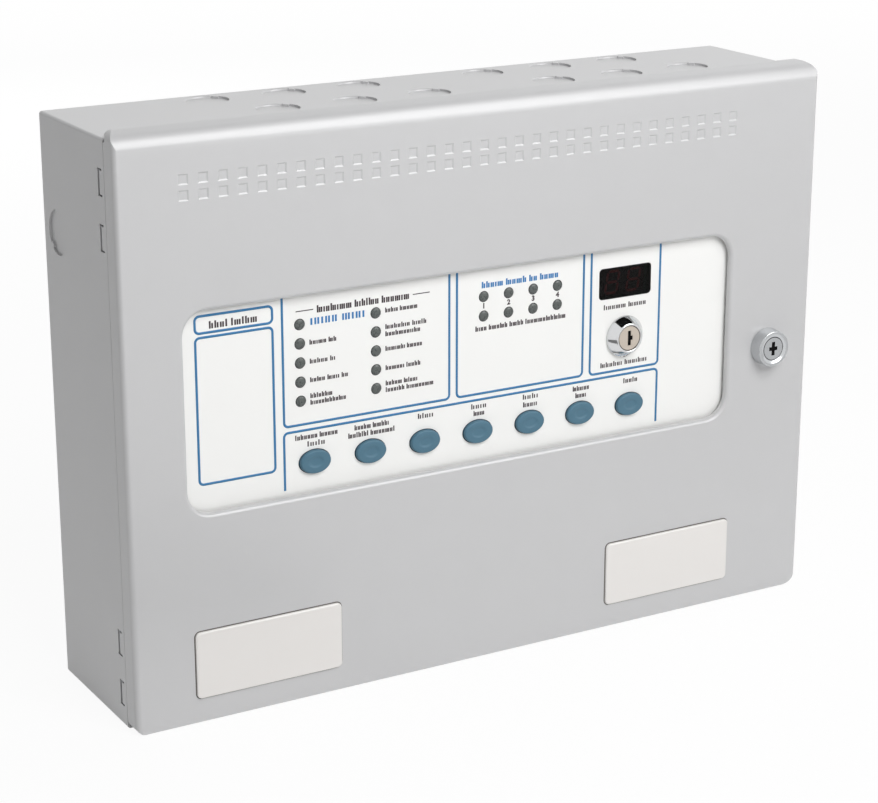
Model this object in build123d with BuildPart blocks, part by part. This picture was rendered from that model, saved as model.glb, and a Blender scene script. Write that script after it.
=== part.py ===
from build123d import *
import os

os.makedirs("parts", exist_ok=True)

# Folded sheet case: widths run from the lid's left edge, heights from the bottom, depths from the lid's face
sheet = 1.2
lid_width = 385.0
lid_height = 284.0
lid_flange = 11.0
lid_lift = 0.4
nose_land = 1.0
edge_bend = 3.0
left_corner = 4.5
right_corner = 9.0
corner_relief = 1.8
seam = 0.3
lid_overhang = 3.5
lid_rise = 4.0
box_width = lid_width - lid_overhang
box_height = lid_height - lid_rise
box_depth = 77.2
box_corner = 1.5
lip_width = 10.0
lip_start = 14.0
running_gap = 0.3
fixed_gap = 0.1

# Window of the lid, with its edge rolled inwards
window_left = 30.0
window_right_margin = 51.5
window_bottom_share = 0.3627
window_height_share = 0.3415
window_width = lid_width - window_left - window_right_margin
window_bottom = window_bottom_share * lid_height
window_height = window_height_share * lid_height
window_corner = 12.0
window_roll = 2.0
collar_depth = 3.2

# Blind squares pressed into the lid above the window, with sloped walls
square = 5.0
square_columns = 32
square_rows = 2
square_pitch = 0.03176 * window_width
square_row_pitch = 7.3
square_setdown = 27.0
square_depth = 0.4
square_slope = 60.0

# Bare plates on the lid
plate_width = 76.6
plate_height = 33.4
plate_bottom = 12.6
plate_thickness = 1.0
plate_corner = 2.5
plate_edge = 0.35
plate_left_margin = 30.7
plate_right_margin = 48.1
plate_lefts = (plate_left_margin, lid_width - plate_right_margin - plate_width)

# Blind cable knock-outs, in two staggered rows of the top wall and one in the left wall, each held by a tab
knockout_radius = 10.8
knockout_depth = 1.0
knockout_tab = 3.0
top_tab_angle = 40.0
side_tab_angle = -45.0
knockout_first = 0.2063 * box_width
knockout_pitch = 0.1059 * box_width
knockout_group = 0.3969 * box_width
knockout_stagger = 0.0514 * box_width
knockout_row_depths = (75.0, 39.6)
side_knockout_depth = 71.0
side_knockout_setdown = 54.0

# Hinge slots of the left wall and the brackets that hook into them
hinge_low_end = 29.0
hinge_high_end = 32.7
hinge_heights = (hinge_low_end, box_height - hinge_high_end)
slot_spacing = 25.2
slot_length = 12.6
slot_width = 2.2
slot_setback = 6.2
slot_tick = 2.4
slot_tick_width = 0.9
bracket_sheet = 1.2
bracket_leaf = 16.0
bracket_clear = 0.5
bracket_margin = 3.0

# Wall fixing holes in the back
wall_hole_radius = 2.75
wall_hole_inset = 32.5
wall_hole_low = 80.0
wall_hole_setdown = 35.0

# Cam lock of the lid
lock_inset = 27.0
lock_rise = 34.5
lock_proud = 7.0
lock_flange_radius = 9.9
lock_rim = 0.6
lock_ring_radius = 9.3
lock_ring_edge = 0.8
lock_barrel_radius = 7.9
lock_plug_radius = 5.9
lock_plug_recess = 0.7
lock_nut_flats = 22.0
lock_nut_thickness = 3.5
lock_drive = 7.0
cam_thickness = 1.6
cam_width = 12.0
cam_reach = 20.0
cam_clear = 0.6
cam_screw_head_radius = 4.0
cam_screw_head = 2.4
cam_screw_radius = 2.0
cam_screw_length = 6.0
keyway_width = 2.0
keyway_length = 7.2
keyway_cross = 5.2
keyway_depth = 3.0

# Chassis behind the window, with the label on its face
label_depth = 5.0
label_sheet = 0.6
chassis_sheet = 1.2
chassis_side = 12.0
chassis_below = 11.0
chassis_above = 12.0
chassis_foot = 10.0
label_margin = 1.0
chassis_screw_inset = 18.0
leg_window_deep = 46.0
leg_window_end = 18.0
leg_window_corner = 6.0

# Lamps
lamp_radius = 2.5
lamp_rim = 0.4
lamp_rim_thickness = 1.0
lamp_proud = 0.6
lamp_edge = 0.6
lamp_hole_gap = 0.3
lamp_top = window_bottom + 0.8495 * window_height
status_left = window_left + 0.199 * window_width
status_right = window_left + 0.3308 * window_width
status_pitch = 0.0957 * window_height
status_count = 5
zone_first = window_left + 0.5259 * window_width
zone_pitch = 0.0463 * window_width
zone_count = 4
zone_row_drop = 0.1 * window_height

# Oval push buttons
button_count = 7
button_first = window_left + 0.2208 * window_width
button_pitch = 0.09806 * window_width
button_height = window_bottom + 0.1526 * window_height
button_width = 16.0
button_tall = 11.5
button_proud = 2.0
button_edge = 0.7
button_dish_width = 9.6
button_dish_tall = 6.4
button_dish_depth = 0.35
button_flange = 1.2
button_flange_thickness = 0.9
button_travel = 0.8
button_spare = 0.2

# Display and key switch, one above the other
mode_across = window_left + 0.797 * window_width
display_height = window_bottom + 0.8165 * window_height
display_width = 31.0
display_tall = 15.8
display_corner = 2.0
display_proud = 0.2
digit_width = 25.4
digit_tall = 13.6
digit_gap = 0.4
key_height = window_bottom + 0.5258 * window_height
key_bezel_radius = 10.8
key_rim = 1.2
key_front_radius = 7.4
key_proud = 5.4
key_barrel_radius = 7.6
key_barrel_length = 19.0
key_plug_radius = 6.1
key_plug_recess = 0.5
key_nut_flats = 20.0
key_nut_thickness = 3.0
key_block = 15.0
key_block_corner = 2.0
key_block_deep = 10.0
keyhole_width = 1.8
keyhole_length = 7.6
keyhole_notch = 2.2
keyhole_offset = 0.9

# Display board behind the chassis
board_sheet = 1.6
board_gap = 6.2
board_margin = 8.0
board_key_gap = 4.0
spacer_radius = 3.0
spacer_inset = 6.0
spacer_columns = 3
screw_radius = 1.5
screw_gap = 0.1
screw_bite = 3.0
screw_head_radius = 3.0
screw_head = 2.0
switch_size = 6.0
switch_body = 3.4
switch_plunger_radius = 1.7
buzzer_radius = 11.5
buzzer_thickness = 9.5
buzzer_across = 60.0

# Terminal board on the back wall
terminal_left = 48.0
terminal_right_margin = 49.5
terminal_setdown = 18.0
terminal_height = 94.0
terminal_width = box_width - terminal_left - terminal_right_margin
terminal_gap = 8.0
block_count = 6
block_end = 10.0
block_gap = 4.0
block_tall = 10.0
block_deep = 12.0
block_setdown = 10.0
block_ways = 8
block_way = 3.2
block_entry_depth = 4.0
relay_count = 3
relay_pitch = 24.0
relay_size = (19.0, 15.5, 15.0)
relay_across = 110.0
fuse_count = 3
fuse_pitch = 12.0
fuse_size = (7.0, 22.0, 9.0)
fuse_across = 230.0
relay_setdown = 34.0

# Standby batteries on their bracket, bottom left
battery_first = 8.0
battery_front = 26.0
battery_gap = 4.0
battery_end_gap = 3.0
battery_headroom = 22.6
battery_edge = 1.5
battery_back_gap = 1.3
tab_size = (4.8, 0.8, 6.4)
tab_inset = 12.0
bracket_front = 15.0
bracket_tab_width = 40.0
bracket_tab_height = 16.0

# Power supply and mains terminals, bottom right
supply_end_gap = 3.3
supply_width = 84.0
supply_bottom = 10.0
supply_tall = 62.0
supply_deep = 40.0
supply_edge = 1.5
supply_foot = 5.0
supply_foot_sheet = 1.5
supply_screw_head = 2.2
vent_count = 12
vent_pitch = 5.6
vent_width = 2.2
vent_length = 44.0
vent_depth = 1.0
mains_inset = 6.0
mains_gap = 8.0
mains_size = (44.0, 16.0, 18.0)
mains_ways = 3
mains_way = 7.0

# Earth stud on the back wall
stud_across = 30.0
stud_setdown = 58.0
stud_radius = 2.5
stud_length = 18.0
stud_nut_flats = 8.0
stud_nut_thickness = 3.2

# Places that follow from the sizes above
box_setback = lid_flange + seam
case_depth = box_setback + box_depth
face_y = lock_proud - (case_depth + lock_proud) / 2
back_depth = case_depth - sheet
window_middle = (window_left + window_width / 2, window_bottom + window_height / 2)
nose_radius = lid_flange - nose_land
square_height = lid_height - square_setdown
lock_across = lid_width - lock_inset
lock_height = window_bottom + lock_rise
chassis_depth = label_depth + label_sheet
chassis_back = chassis_depth + chassis_sheet
chassis_left = window_left - chassis_side
chassis_width = window_width + 2 * chassis_side
chassis_bottom = window_bottom - chassis_below
chassis_height = window_height + chassis_below + chassis_above
chassis_right = chassis_left + chassis_width
chassis_middle = (chassis_left + chassis_width / 2, chassis_bottom + chassis_height / 2)
board_depth = chassis_back + board_gap
board_back = board_depth + board_sheet
button_flange_depth = chassis_back + running_gap
button_back = button_flange_depth + button_flange_thickness
plunger_depth = button_back + button_travel + button_spare
switch_depth = board_depth - switch_body
cam_depth = box_setback + sheet + cam_clear
barrel_length = cam_depth - running_gap
terminal_depth = back_depth - terminal_gap - board_sheet
terminal_bottom = box_height - terminal_setdown - terminal_height
block_pitch = (terminal_width - 2 * block_end) / block_count
block_length = block_pitch - block_gap
relay_height = terminal_bottom + terminal_height - relay_setdown
supply_left = box_width - sheet - supply_end_gap - supply_foot - supply_width
mains_left = supply_left + mains_inset
mains_bottom = supply_bottom + supply_tall + mains_gap
battery_bottom = 2 * sheet
battery_length = (supply_left - supply_foot - battery_end_gap - battery_first - battery_gap) / 2
battery_deep = back_depth - battery_back_gap - battery_front
battery_tall = chassis_bottom - battery_bottom - battery_headroom
slot_depth = box_setback + slot_setback


def across(distance):
    """X of a point that far from the lid's left edge."""
    return distance - lid_width / 2


def at(distance, height):
    """Point of a front-facing sketch, from the lid's left edge and the bottom."""
    return (across(distance), height)


def facing(depth):
    """Plane parallel to the lid's face and that far behind it, looking out of the front."""
    return Plane.XZ.offset(-(face_y + depth))


def side(distance):
    """Plane square to X, that far from the lid's left edge."""
    return Plane.YZ.offset(across(distance))


def section(point):
    """Plane through an axis square to the face: radius along X, depth behind the lid's face along Y."""
    return Plane(origin=(point[0], face_y, point[1]), x_dir=(1, 0, 0), z_dir=(0, 0, 1))


def save(piece, name):
    """Labels a finished piece and writes it."""
    piece.part.label = name
    export_step(piece.part, f"parts/{name}.step")


def line_of(first, pitch, count):
    """Evenly spaced distances."""
    return [first + pitch * i for i in range(count)]


def corners(middle, span, rise):
    """Corner points of a rectangle about a middle point."""
    return [at(middle[0] + i * span / 2, middle[1] + j * rise / 2) for i in (-1, 1) for j in (-1, 1)]


status_points = [
    at(x, z) for x in (status_left, status_right) for z in line_of(lamp_top, -status_pitch, status_count)
]
zone_points = [
    at(x, z) for x in line_of(zone_first, zone_pitch, zone_count) for z in (lamp_top, lamp_top - zone_row_drop)
]
button_points = [at(x, button_height) for x in line_of(button_first, button_pitch, button_count)]
display_point = at(mode_across, display_height)
key_point = at(mode_across, key_height)
lock_point = at(lock_across, lock_height)
spacer_span = (chassis_width - 2 * (board_margin + spacer_inset)) / (spacer_columns - 1)
spacer_rise = chassis_height - 2 * (board_margin + spacer_inset)
slot_heights = [h + s * slot_spacing / 2 for h in hinge_heights for s in (-1, 1)]


# Lid, a shallow folded tray

def tray(inset):
    """Body inside the lid's skin moved in by inset: its front outline, cut to its side and plan profiles."""
    left = across(inset)
    width = lid_width - 2 * inset
    low = lid_lift + inset
    tall = lid_height - inset - low
    with BuildPart() as body:
        with BuildSketch(facing(inset)) as outline:
            with Locations((left, low)):
                Rectangle(width, tall, align=(Align.MIN, Align.MIN))
            fillet(outline.vertices().group_by(Axis.X)[-1], right_corner - inset)
            fillet(outline.vertices().group_by(Axis.X)[0], left_corner - inset)
        extrude(amount=-lid_flange)
        with BuildSketch(side(inset)) as profile:
            with Locations((face_y + inset, low)):
                Rectangle(lid_flange, tall, align=(Align.MIN, Align.MIN))
            front = profile.vertices().group_by(Axis.X)[0].sort_by(Axis.Y)
            fillet(front[-1], nose_radius - inset)
            fillet(front[0], edge_bend - inset)
        extrude(amount=width, mode=Mode.INTERSECT)
        with BuildSketch(Plane.XY.offset(low)) as plan:
            with Locations((left, face_y + inset)):
                Rectangle(width, lid_flange, align=(Align.MIN, Align.MIN))
            fillet(plan.vertices().group_by(Axis.Y)[0], edge_bend - inset)
        extrude(amount=tall, mode=Mode.INTERSECT)
    return body.part


lid_outside = tray(0.0)
lid_inside = tray(sheet)
with BuildPart() as lid:
    add(lid_outside)
    add(lid_inside, mode=Mode.SUBTRACT)
    with BuildSketch(facing(0)):
        with Locations(at(*window_middle)):
            RectangleRounded(window_width + 2 * sheet, window_height + 2 * sheet, window_corner + sheet)
    extrude(amount=-collar_depth)
    with BuildSketch(facing(0)):
        with Locations(at(*window_middle)):
            RectangleRounded(window_width, window_height, window_corner)
    extrude(amount=-collar_depth, mode=Mode.SUBTRACT)
    fillet(lid.faces().sort_by(Axis.Y)[0].inner_wires()[0].edges(), window_roll)
    with BuildSketch(facing(sheet)):
        with Locations(at(window_middle[0], square_height)):
            with GridLocations(square_pitch, square_row_pitch, square_columns, square_rows):
                Rectangle(square, square)
    extrude(amount=-square_depth)
    with BuildSketch(facing(0)):
        with Locations(at(window_middle[0], square_height)):
            with GridLocations(square_pitch, square_row_pitch, square_columns, square_rows):
                Rectangle(square, square)
    extrude(amount=-square_depth, taper=square_slope, mode=Mode.SUBTRACT)
    with BuildSketch(facing(0)):
        with Locations(lock_point):
            Circle(lock_barrel_radius + fixed_gap)
    extrude(amount=-sheet, mode=Mode.SUBTRACT)
    with BuildSketch(side(0)):
        with Locations((face_y + lid_flange, box_height)):
            Circle(corner_relief)
    extrude(amount=left_corner, mode=Mode.SUBTRACT)
save(lid, "lid")


# Bare plates stuck on the lid

for plate_name, plate_left in zip(("name_plate_left", "name_plate_right"), plate_lefts):
    with BuildPart() as name_plate:
        with BuildSketch(facing(0)):
            with Locations(at(plate_left + plate_width / 2, plate_bottom + plate_height / 2)):
                RectangleRounded(plate_width, plate_height, plate_corner)
        extrude(amount=plate_thickness)
        chamfer(name_plate.faces().sort_by(Axis.Y)[0].edges(), plate_edge)
    save(name_plate, plate_name)


# Back box, a folded tray with a lip round its mouth on the three sides that aren't hinged

knockout_points = [
    (across(knockout_first + group * knockout_group + i * knockout_pitch + row * knockout_stagger), face_y + depth)
    for row, depth in enumerate(knockout_row_depths)
    for group in (0, 1)
    for i in range(3)
]
side_knockout = (face_y + side_knockout_depth, box_height - side_knockout_setdown)
wall_hole_rise = box_height - wall_hole_setdown - wall_hole_low
wall_hole_middle = (lid_width / 2, wall_hole_low + wall_hole_rise / 2)
with BuildPart() as back_box:
    with BuildSketch(facing(box_setback)):
        with Locations(at(box_width / 2, box_height / 2)):
            RectangleRounded(box_width, box_height, box_corner)
    extrude(amount=-box_depth)
    fillet(back_box.faces().sort_by(Axis.Y)[-1].edges(), box_corner)
    offset(amount=-sheet, openings=back_box.faces().sort_by(Axis.Y)[0])
    with BuildSketch(facing(box_setback)):
        with Locations(at(box_width / 2, box_height / 2)):
            RectangleRounded(box_width, box_height, box_corner)
        with Locations(at(sheet, box_height / 2)):
            Rectangle(
                box_width - 2 * sheet - lip_width,
                box_height - 2 * (sheet + lip_width),
                align=(Align.MIN, Align.CENTER),
                mode=Mode.SUBTRACT,
            )
            Rectangle(
                lip_start - sheet,
                box_height - 2 * sheet,
                align=(Align.MIN, Align.CENTER),
                mode=Mode.SUBTRACT,
            )
    extrude(amount=-sheet)
    with BuildSketch(Plane.XY.offset(box_height - sheet)):
        with Locations(*knockout_points):
            Circle(knockout_radius)
    extrude(amount=-knockout_depth)
    with BuildSketch(Plane.XY.offset(box_height)):
        with Locations(*knockout_points):
            Circle(knockout_radius)
            with PolarLocations(knockout_radius, 1, start_angle=top_tab_angle):
                Rectangle(knockout_tab, knockout_tab, mode=Mode.SUBTRACT)
    extrude(amount=-knockout_depth, mode=Mode.SUBTRACT)
    with BuildSketch(side(sheet)):
        with Locations(side_knockout):
            Circle(knockout_radius)
    extrude(amount=knockout_depth)
    with BuildSketch(side(0)):
        with Locations(side_knockout):
            Circle(knockout_radius)
            with PolarLocations(knockout_radius, 1, start_angle=side_tab_angle):
                Rectangle(knockout_tab, knockout_tab, mode=Mode.SUBTRACT)
    extrude(amount=knockout_depth, mode=Mode.SUBTRACT)
    with BuildSketch(side(0)):
        for slot_height in slot_heights:
            with Locations((face_y + slot_depth, slot_height)):
                Rectangle(slot_width, slot_length)
            with Locations((face_y + slot_depth - slot_width / 2, slot_height)):
                with GridLocations(0, slot_length - slot_tick_width, 1, 2):
                    Rectangle(2 * slot_tick, slot_tick_width)
    extrude(amount=sheet, mode=Mode.SUBTRACT)
    with BuildSketch(facing(back_depth)):
        with Locations(*corners(wall_hole_middle, lid_width - 2 * wall_hole_inset, wall_hole_rise)):
            Circle(wall_hole_radius)
    extrude(amount=-sheet, mode=Mode.SUBTRACT)
save(back_box, "back_box")


# Hinge brackets: one leaf on the lid's inner face, one behind the left wall with two lips in the slots

bracket_left = sheet + bracket_clear
lip_length = slot_length - 2 * slot_tick_width
bracket_tall = slot_spacing + slot_length + 2 * bracket_margin
for hinge_name, hinge_height in zip(("hinge_bracket_lower", "hinge_bracket_upper"), hinge_heights):
    with BuildPart() as hinge_bracket:
        with BuildSketch(Plane.XY.offset(hinge_height - bracket_tall / 2)) as angle:
            with Locations((across(bracket_left), face_y + sheet)):
                Rectangle(bracket_leaf, bracket_sheet, align=(Align.MIN, Align.MIN))
                Rectangle(
                    bracket_sheet,
                    slot_depth + bracket_sheet / 2 - sheet,
                    align=(Align.MIN, Align.MIN),
                )
            fillet(angle.vertices().group_by(Axis.Y)[0].sort_by(Axis.X)[0], edge_bend - bracket_clear)
        extrude(amount=bracket_tall)
        with BuildSketch(facing(slot_depth - bracket_sheet / 2)):
            with Locations(at(bracket_clear, hinge_height)):
                with GridLocations(0, slot_spacing, 1, 2):
                    Rectangle(bracket_left - bracket_clear, lip_length, align=(Align.MIN, Align.CENTER))
        extrude(amount=-bracket_sheet)
    save(hinge_bracket, hinge_name)


# Cam lock: the body and its nut stay with the lid, the plug turns with the cam

lock_axis = Axis((lock_point[0], face_y, lock_point[1]), (0, 1, 0))
lock_bore = lock_plug_radius + running_gap
with BuildPart() as lock_body:
    with BuildSketch(section(lock_point)):
        with BuildLine():
            Polyline(
                (lock_bore, -lock_proud),
                (lock_ring_radius - lock_ring_edge, -lock_proud),
                (lock_ring_radius, lock_ring_edge - lock_proud),
                (lock_flange_radius, -lock_rim),
                (lock_flange_radius, 0),
                (lock_barrel_radius, 0),
                (lock_barrel_radius, barrel_length),
                (lock_bore, barrel_length),
                close=True,
            )
        make_face()
    revolve(axis=lock_axis)
save(lock_body, "lock_body")

with BuildPart() as lock_nut:
    with BuildSketch(facing(sheet)):
        with Locations(lock_point):
            RegularPolygon(lock_nut_flats / 2, 6, major_radius=False)
            Circle(lock_barrel_radius + fixed_gap, mode=Mode.SUBTRACT)
    extrude(amount=-lock_nut_thickness)
save(lock_nut, "lock_nut")

with BuildPart() as lock_plug:
    with BuildSketch(facing(lock_plug_recess - lock_proud)):
        with Locations(lock_point):
            Circle(lock_plug_radius)
    extrude(amount=-(cam_depth + lock_proud - lock_plug_recess))
    with BuildSketch(facing(cam_depth)):
        with Locations(lock_point):
            Rectangle(lock_drive, lock_drive)
    extrude(amount=-cam_thickness)
    with BuildSketch(facing(cam_depth + cam_thickness)):
        with Locations(lock_point):
            Circle(cam_screw_radius + fixed_gap)
    extrude(amount=cam_screw_length, mode=Mode.SUBTRACT)
    with BuildSketch(facing(lock_plug_recess - lock_proud)):
        with Locations(lock_point):
            Rectangle(keyway_width, keyway_length)
            Rectangle(keyway_cross, keyway_width)
    extrude(amount=-keyway_depth, mode=Mode.SUBTRACT)
save(lock_plug, "lock_plug")

with BuildPart() as lock_cam:
    with BuildSketch(facing(cam_depth)) as cam_outline:
        with Locations(lock_point):
            Circle(cam_width / 2)
            Rectangle(cam_width, cam_reach, align=(Align.CENTER, Align.MAX))
            Rectangle(lock_drive + 2 * fixed_gap, lock_drive + 2 * fixed_gap, mode=Mode.SUBTRACT)
        fillet(cam_outline.vertices().group_by(Axis.Y)[0], cam_width / 4)
    extrude(amount=-cam_thickness)
save(lock_cam, "lock_cam")

with BuildPart() as lock_cam_screw:
    with BuildSketch(facing(cam_depth + cam_thickness)):
        with Locations(lock_point):
            Circle(cam_screw_head_radius)
    extrude(amount=-cam_screw_head)
    with BuildSketch(facing(cam_depth + cam_thickness)):
        with Locations(lock_point):
            Circle(cam_screw_radius)
    extrude(amount=cam_screw_length - running_gap)
save(lock_cam_screw, "lock_cam_screw")


# Chassis, a bent strap across the box with feet on the back wall, and the label on its face

with BuildSketch() as face_openings:
    with Locations(*status_points, *zone_points):
        Circle(lamp_radius + lamp_hole_gap)
    with Locations(*button_points):
        Ellipse(button_width / 2 + running_gap, button_tall / 2 + running_gap)
    with Locations(display_point):
        RectangleRounded(display_width + 2 * fixed_gap, display_tall + 2 * fixed_gap, display_corner)
    with Locations(key_point):
        Circle(key_barrel_radius + fixed_gap)

foot_middle = chassis_width / 2 + chassis_foot / 2
chassis_screw_points = corners(chassis_middle, 2 * foot_middle, chassis_height - 2 * chassis_screw_inset)
with BuildPart() as display_chassis:
    with BuildSketch(Plane.XY.offset(chassis_bottom)) as strap:
        with Locations((across(chassis_left), face_y + chassis_depth)):
            Rectangle(chassis_width, back_depth - chassis_depth, align=(Align.MIN, Align.MIN))
        with Locations((across(chassis_left + chassis_sheet), face_y + chassis_back)):
            Rectangle(
                chassis_width - 2 * chassis_sheet,
                back_depth - chassis_back,
                align=(Align.MIN, Align.MIN),
                mode=Mode.SUBTRACT,
            )
        with Locations((across(chassis_left - chassis_foot), face_y + back_depth)):
            Rectangle(chassis_foot + chassis_sheet, chassis_sheet, align=(Align.MIN, Align.MAX))
        with Locations((across(chassis_right + chassis_foot), face_y + back_depth)):
            Rectangle(chassis_foot + chassis_sheet, chassis_sheet, align=(Align.MAX, Align.MAX))
    extrude(amount=chassis_height)
    with BuildSketch(facing(chassis_depth)):
        add(face_openings.sketch)
    extrude(amount=-chassis_sheet, mode=Mode.SUBTRACT)
    with BuildSketch(facing(back_depth - chassis_sheet)):
        with Locations(*chassis_screw_points):
            Circle(screw_radius + screw_gap)
    extrude(amount=-chassis_sheet, mode=Mode.SUBTRACT)
    with BuildSketch(side(chassis_left)):
        with Locations((face_y + (chassis_back + back_depth) / 2, chassis_middle[1])):
            RectangleRounded(leg_window_deep, chassis_height - 2 * leg_window_end, leg_window_corner)
    extrude(amount=chassis_width, mode=Mode.SUBTRACT)
save(display_chassis, "display_chassis")

with BuildPart() as chassis_screws:
    with BuildSketch(facing(back_depth - chassis_sheet)):
        with Locations(*chassis_screw_points):
            Circle(screw_head_radius)
    extrude(amount=screw_head)
    with BuildSketch(facing(back_depth - chassis_sheet)):
        with Locations(*chassis_screw_points):
            Circle(screw_radius)
    extrude(amount=-chassis_sheet)
save(chassis_screws, "chassis_screws")

with BuildPart() as display_label:
    with BuildSketch(facing(label_depth)):
        with Locations(at(*chassis_middle)):
            Rectangle(chassis_width - 2 * label_margin, chassis_height - 2 * label_margin)
        add(face_openings.sketch, mode=Mode.SUBTRACT)
    extrude(amount=-label_sheet)
save(display_label, "display_label")


# Lamps

for lamp_name, lamp_points in (("status_lamps", status_points), ("zone_lamps", zone_points)):
    with BuildPart() as lamps:
        with BuildSketch(facing(board_depth)):
            with Locations(*lamp_points):
                Circle(lamp_radius)
        extrude(amount=board_depth - label_depth + lamp_proud)
        chamfer(lamps.edges().group_by(Axis.Y)[0], lamp_edge)
        with BuildSketch(facing(board_depth)):
            with Locations(*lamp_points):
                Circle(lamp_radius + lamp_rim)
        extrude(amount=lamp_rim_thickness)
    save(lamps, lamp_name)


# Push buttons: dished oval caps, held behind the chassis by a flange

for number, button_point in enumerate(button_points, start=1):
    with BuildPart() as button:
        with BuildSketch(facing(label_depth - button_proud)):
            with Locations(button_point):
                Ellipse(button_width / 2, button_tall / 2)
        extrude(amount=-(button_back - label_depth + button_proud))
        chamfer(button.edges().group_by(Axis.Y)[0], button_edge)
        with BuildSketch(facing(button_flange_depth)):
            with Locations(button_point):
                Ellipse(button_width / 2 + button_flange, button_tall / 2 + button_flange)
        extrude(amount=-button_flange_thickness)
        with BuildSketch(facing(label_depth - button_proud)):
            with Locations(button_point):
                Ellipse(button_dish_width / 2, button_dish_tall / 2)
        extrude(amount=-button_dish_depth, mode=Mode.SUBTRACT)
    save(button, f"button_{number}")


# Display filter and the number module behind it

with BuildPart() as display_filter:
    with BuildSketch(facing(label_depth - display_proud)):
        with Locations(display_point):
            RectangleRounded(display_width, display_tall, display_corner)
    extrude(amount=-(chassis_back - label_depth + display_proud))
save(display_filter, "display_filter")

with BuildPart() as digit_module:
    with BuildSketch(facing(board_depth)):
        with Locations(display_point):
            Rectangle(digit_width, digit_tall)
    extrude(amount=board_depth - chassis_back - digit_gap)
save(digit_module, "digit_module")


# Key switch: coned bezel and barrel in one, with its nut, contact block and turning plug

key_axis = Axis((key_point[0], face_y, key_point[1]), (0, 1, 0))
key_front = label_depth - key_proud
key_bore = key_plug_radius + running_gap
key_back = label_depth + key_barrel_length
with BuildPart() as key_switch_body:
    with BuildSketch(section(key_point)):
        with BuildLine():
            Polyline(
                (key_bore, key_front),
                (key_front_radius, key_front),
                (key_bezel_radius, label_depth - key_rim),
                (key_bezel_radius, label_depth),
                (key_barrel_radius, label_depth),
                (key_barrel_radius, key_back),
                (key_bore, key_back),
                close=True,
            )
        make_face()
    revolve(axis=key_axis)
save(key_switch_body, "key_switch_body")

with BuildPart() as key_switch_nut:
    with BuildSketch(facing(chassis_back)):
        with Locations(key_point):
            RegularPolygon(key_nut_flats / 2, 6, major_radius=False)
            Circle(key_barrel_radius + fixed_gap, mode=Mode.SUBTRACT)
    extrude(amount=-key_nut_thickness)
save(key_switch_nut, "key_switch_nut")

with BuildPart() as key_switch_contacts:
    with BuildSketch(facing(key_back)):
        with Locations(key_point):
            RectangleRounded(key_block, key_block, key_block_corner)
    extrude(amount=-key_block_deep)
save(key_switch_contacts, "key_switch_contacts")

with BuildPart() as key_switch_plug:
    with BuildSketch(facing(key_front + key_plug_recess)):
        with Locations(key_point):
            Circle(key_plug_radius)
    extrude(amount=-(key_back - running_gap - key_front - key_plug_recess))
    with BuildSketch(facing(key_front + key_plug_recess)):
        with Locations(key_point):
            Rectangle(keyhole_width, keyhole_length)
        with Locations((key_point[0] + keyhole_offset, key_point[1])):
            Rectangle(keyhole_notch, keyhole_notch)
    extrude(amount=-keyway_depth, mode=Mode.SUBTRACT)
save(key_switch_plug, "key_switch_plug")


# Display board on spacers behind the chassis, with a push switch under each button

with BuildPart() as display_board:
    with BuildSketch(facing(board_depth)):
        with Locations(at(*chassis_middle)):
            Rectangle(chassis_width - 2 * board_margin, chassis_height - 2 * board_margin)
            with GridLocations(spacer_span, spacer_rise, spacer_columns, 2):
                Circle(screw_radius + screw_gap, mode=Mode.SUBTRACT)
        with Locations(key_point):
            Circle(key_barrel_radius + board_key_gap, mode=Mode.SUBTRACT)
    extrude(amount=-board_sheet)
save(display_board, "display_board")

with BuildPart() as board_spacers:
    with BuildSketch(facing(chassis_back)):
        with Locations(at(*chassis_middle)):
            with GridLocations(spacer_span, spacer_rise, spacer_columns, 2):
                Circle(spacer_radius)
    extrude(amount=-board_gap)
    with BuildSketch(facing(board_depth)):
        with Locations(at(*chassis_middle)):
            with GridLocations(spacer_span, spacer_rise, spacer_columns, 2):
                Circle(screw_radius + screw_gap)
    extrude(amount=screw_bite + screw_gap, mode=Mode.SUBTRACT)
save(board_spacers, "board_spacers")

with BuildPart() as board_screws:
    with BuildSketch(facing(board_back)):
        with Locations(at(*chassis_middle)):
            with GridLocations(spacer_span, spacer_rise, spacer_columns, 2):
                Circle(screw_head_radius)
    extrude(amount=-screw_head)
    with BuildSketch(facing(board_back)):
        with Locations(at(*chassis_middle)):
            with GridLocations(spacer_span, spacer_rise, spacer_columns, 2):
                Circle(screw_radius)
    extrude(amount=board_sheet + screw_bite)
save(board_screws, "board_screws")

with BuildPart() as push_switches:
    with BuildSketch(facing(board_depth)):
        with Locations(*button_points):
            Rectangle(switch_size, switch_size)
    extrude(amount=switch_body)
    with BuildSketch(facing(switch_depth)):
        with Locations(*button_points):
            Circle(switch_plunger_radius)
    extrude(amount=switch_depth - plunger_depth)
save(push_switches, "push_switches")

with BuildPart() as buzzer:
    with BuildSketch(facing(board_back)):
        with Locations(at(buzzer_across, window_middle[1])):
            Circle(buzzer_radius)
    extrude(amount=-buzzer_thickness)
save(buzzer, "buzzer")


# Terminal board on the back wall

terminal_middle = (terminal_left + terminal_width / 2, terminal_bottom + terminal_height / 2)
terminal_screw_points = corners(
    terminal_middle, terminal_width - 2 * spacer_inset, terminal_height - 2 * spacer_inset
)
with BuildPart() as terminal_board:
    with BuildSketch(facing(terminal_depth)):
        with Locations(at(*terminal_middle)):
            Rectangle(terminal_width, terminal_height)
        with Locations(*terminal_screw_points):
            Circle(screw_radius + screw_gap, mode=Mode.SUBTRACT)
    extrude(amount=-board_sheet)
save(terminal_board, "terminal_board")

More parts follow.
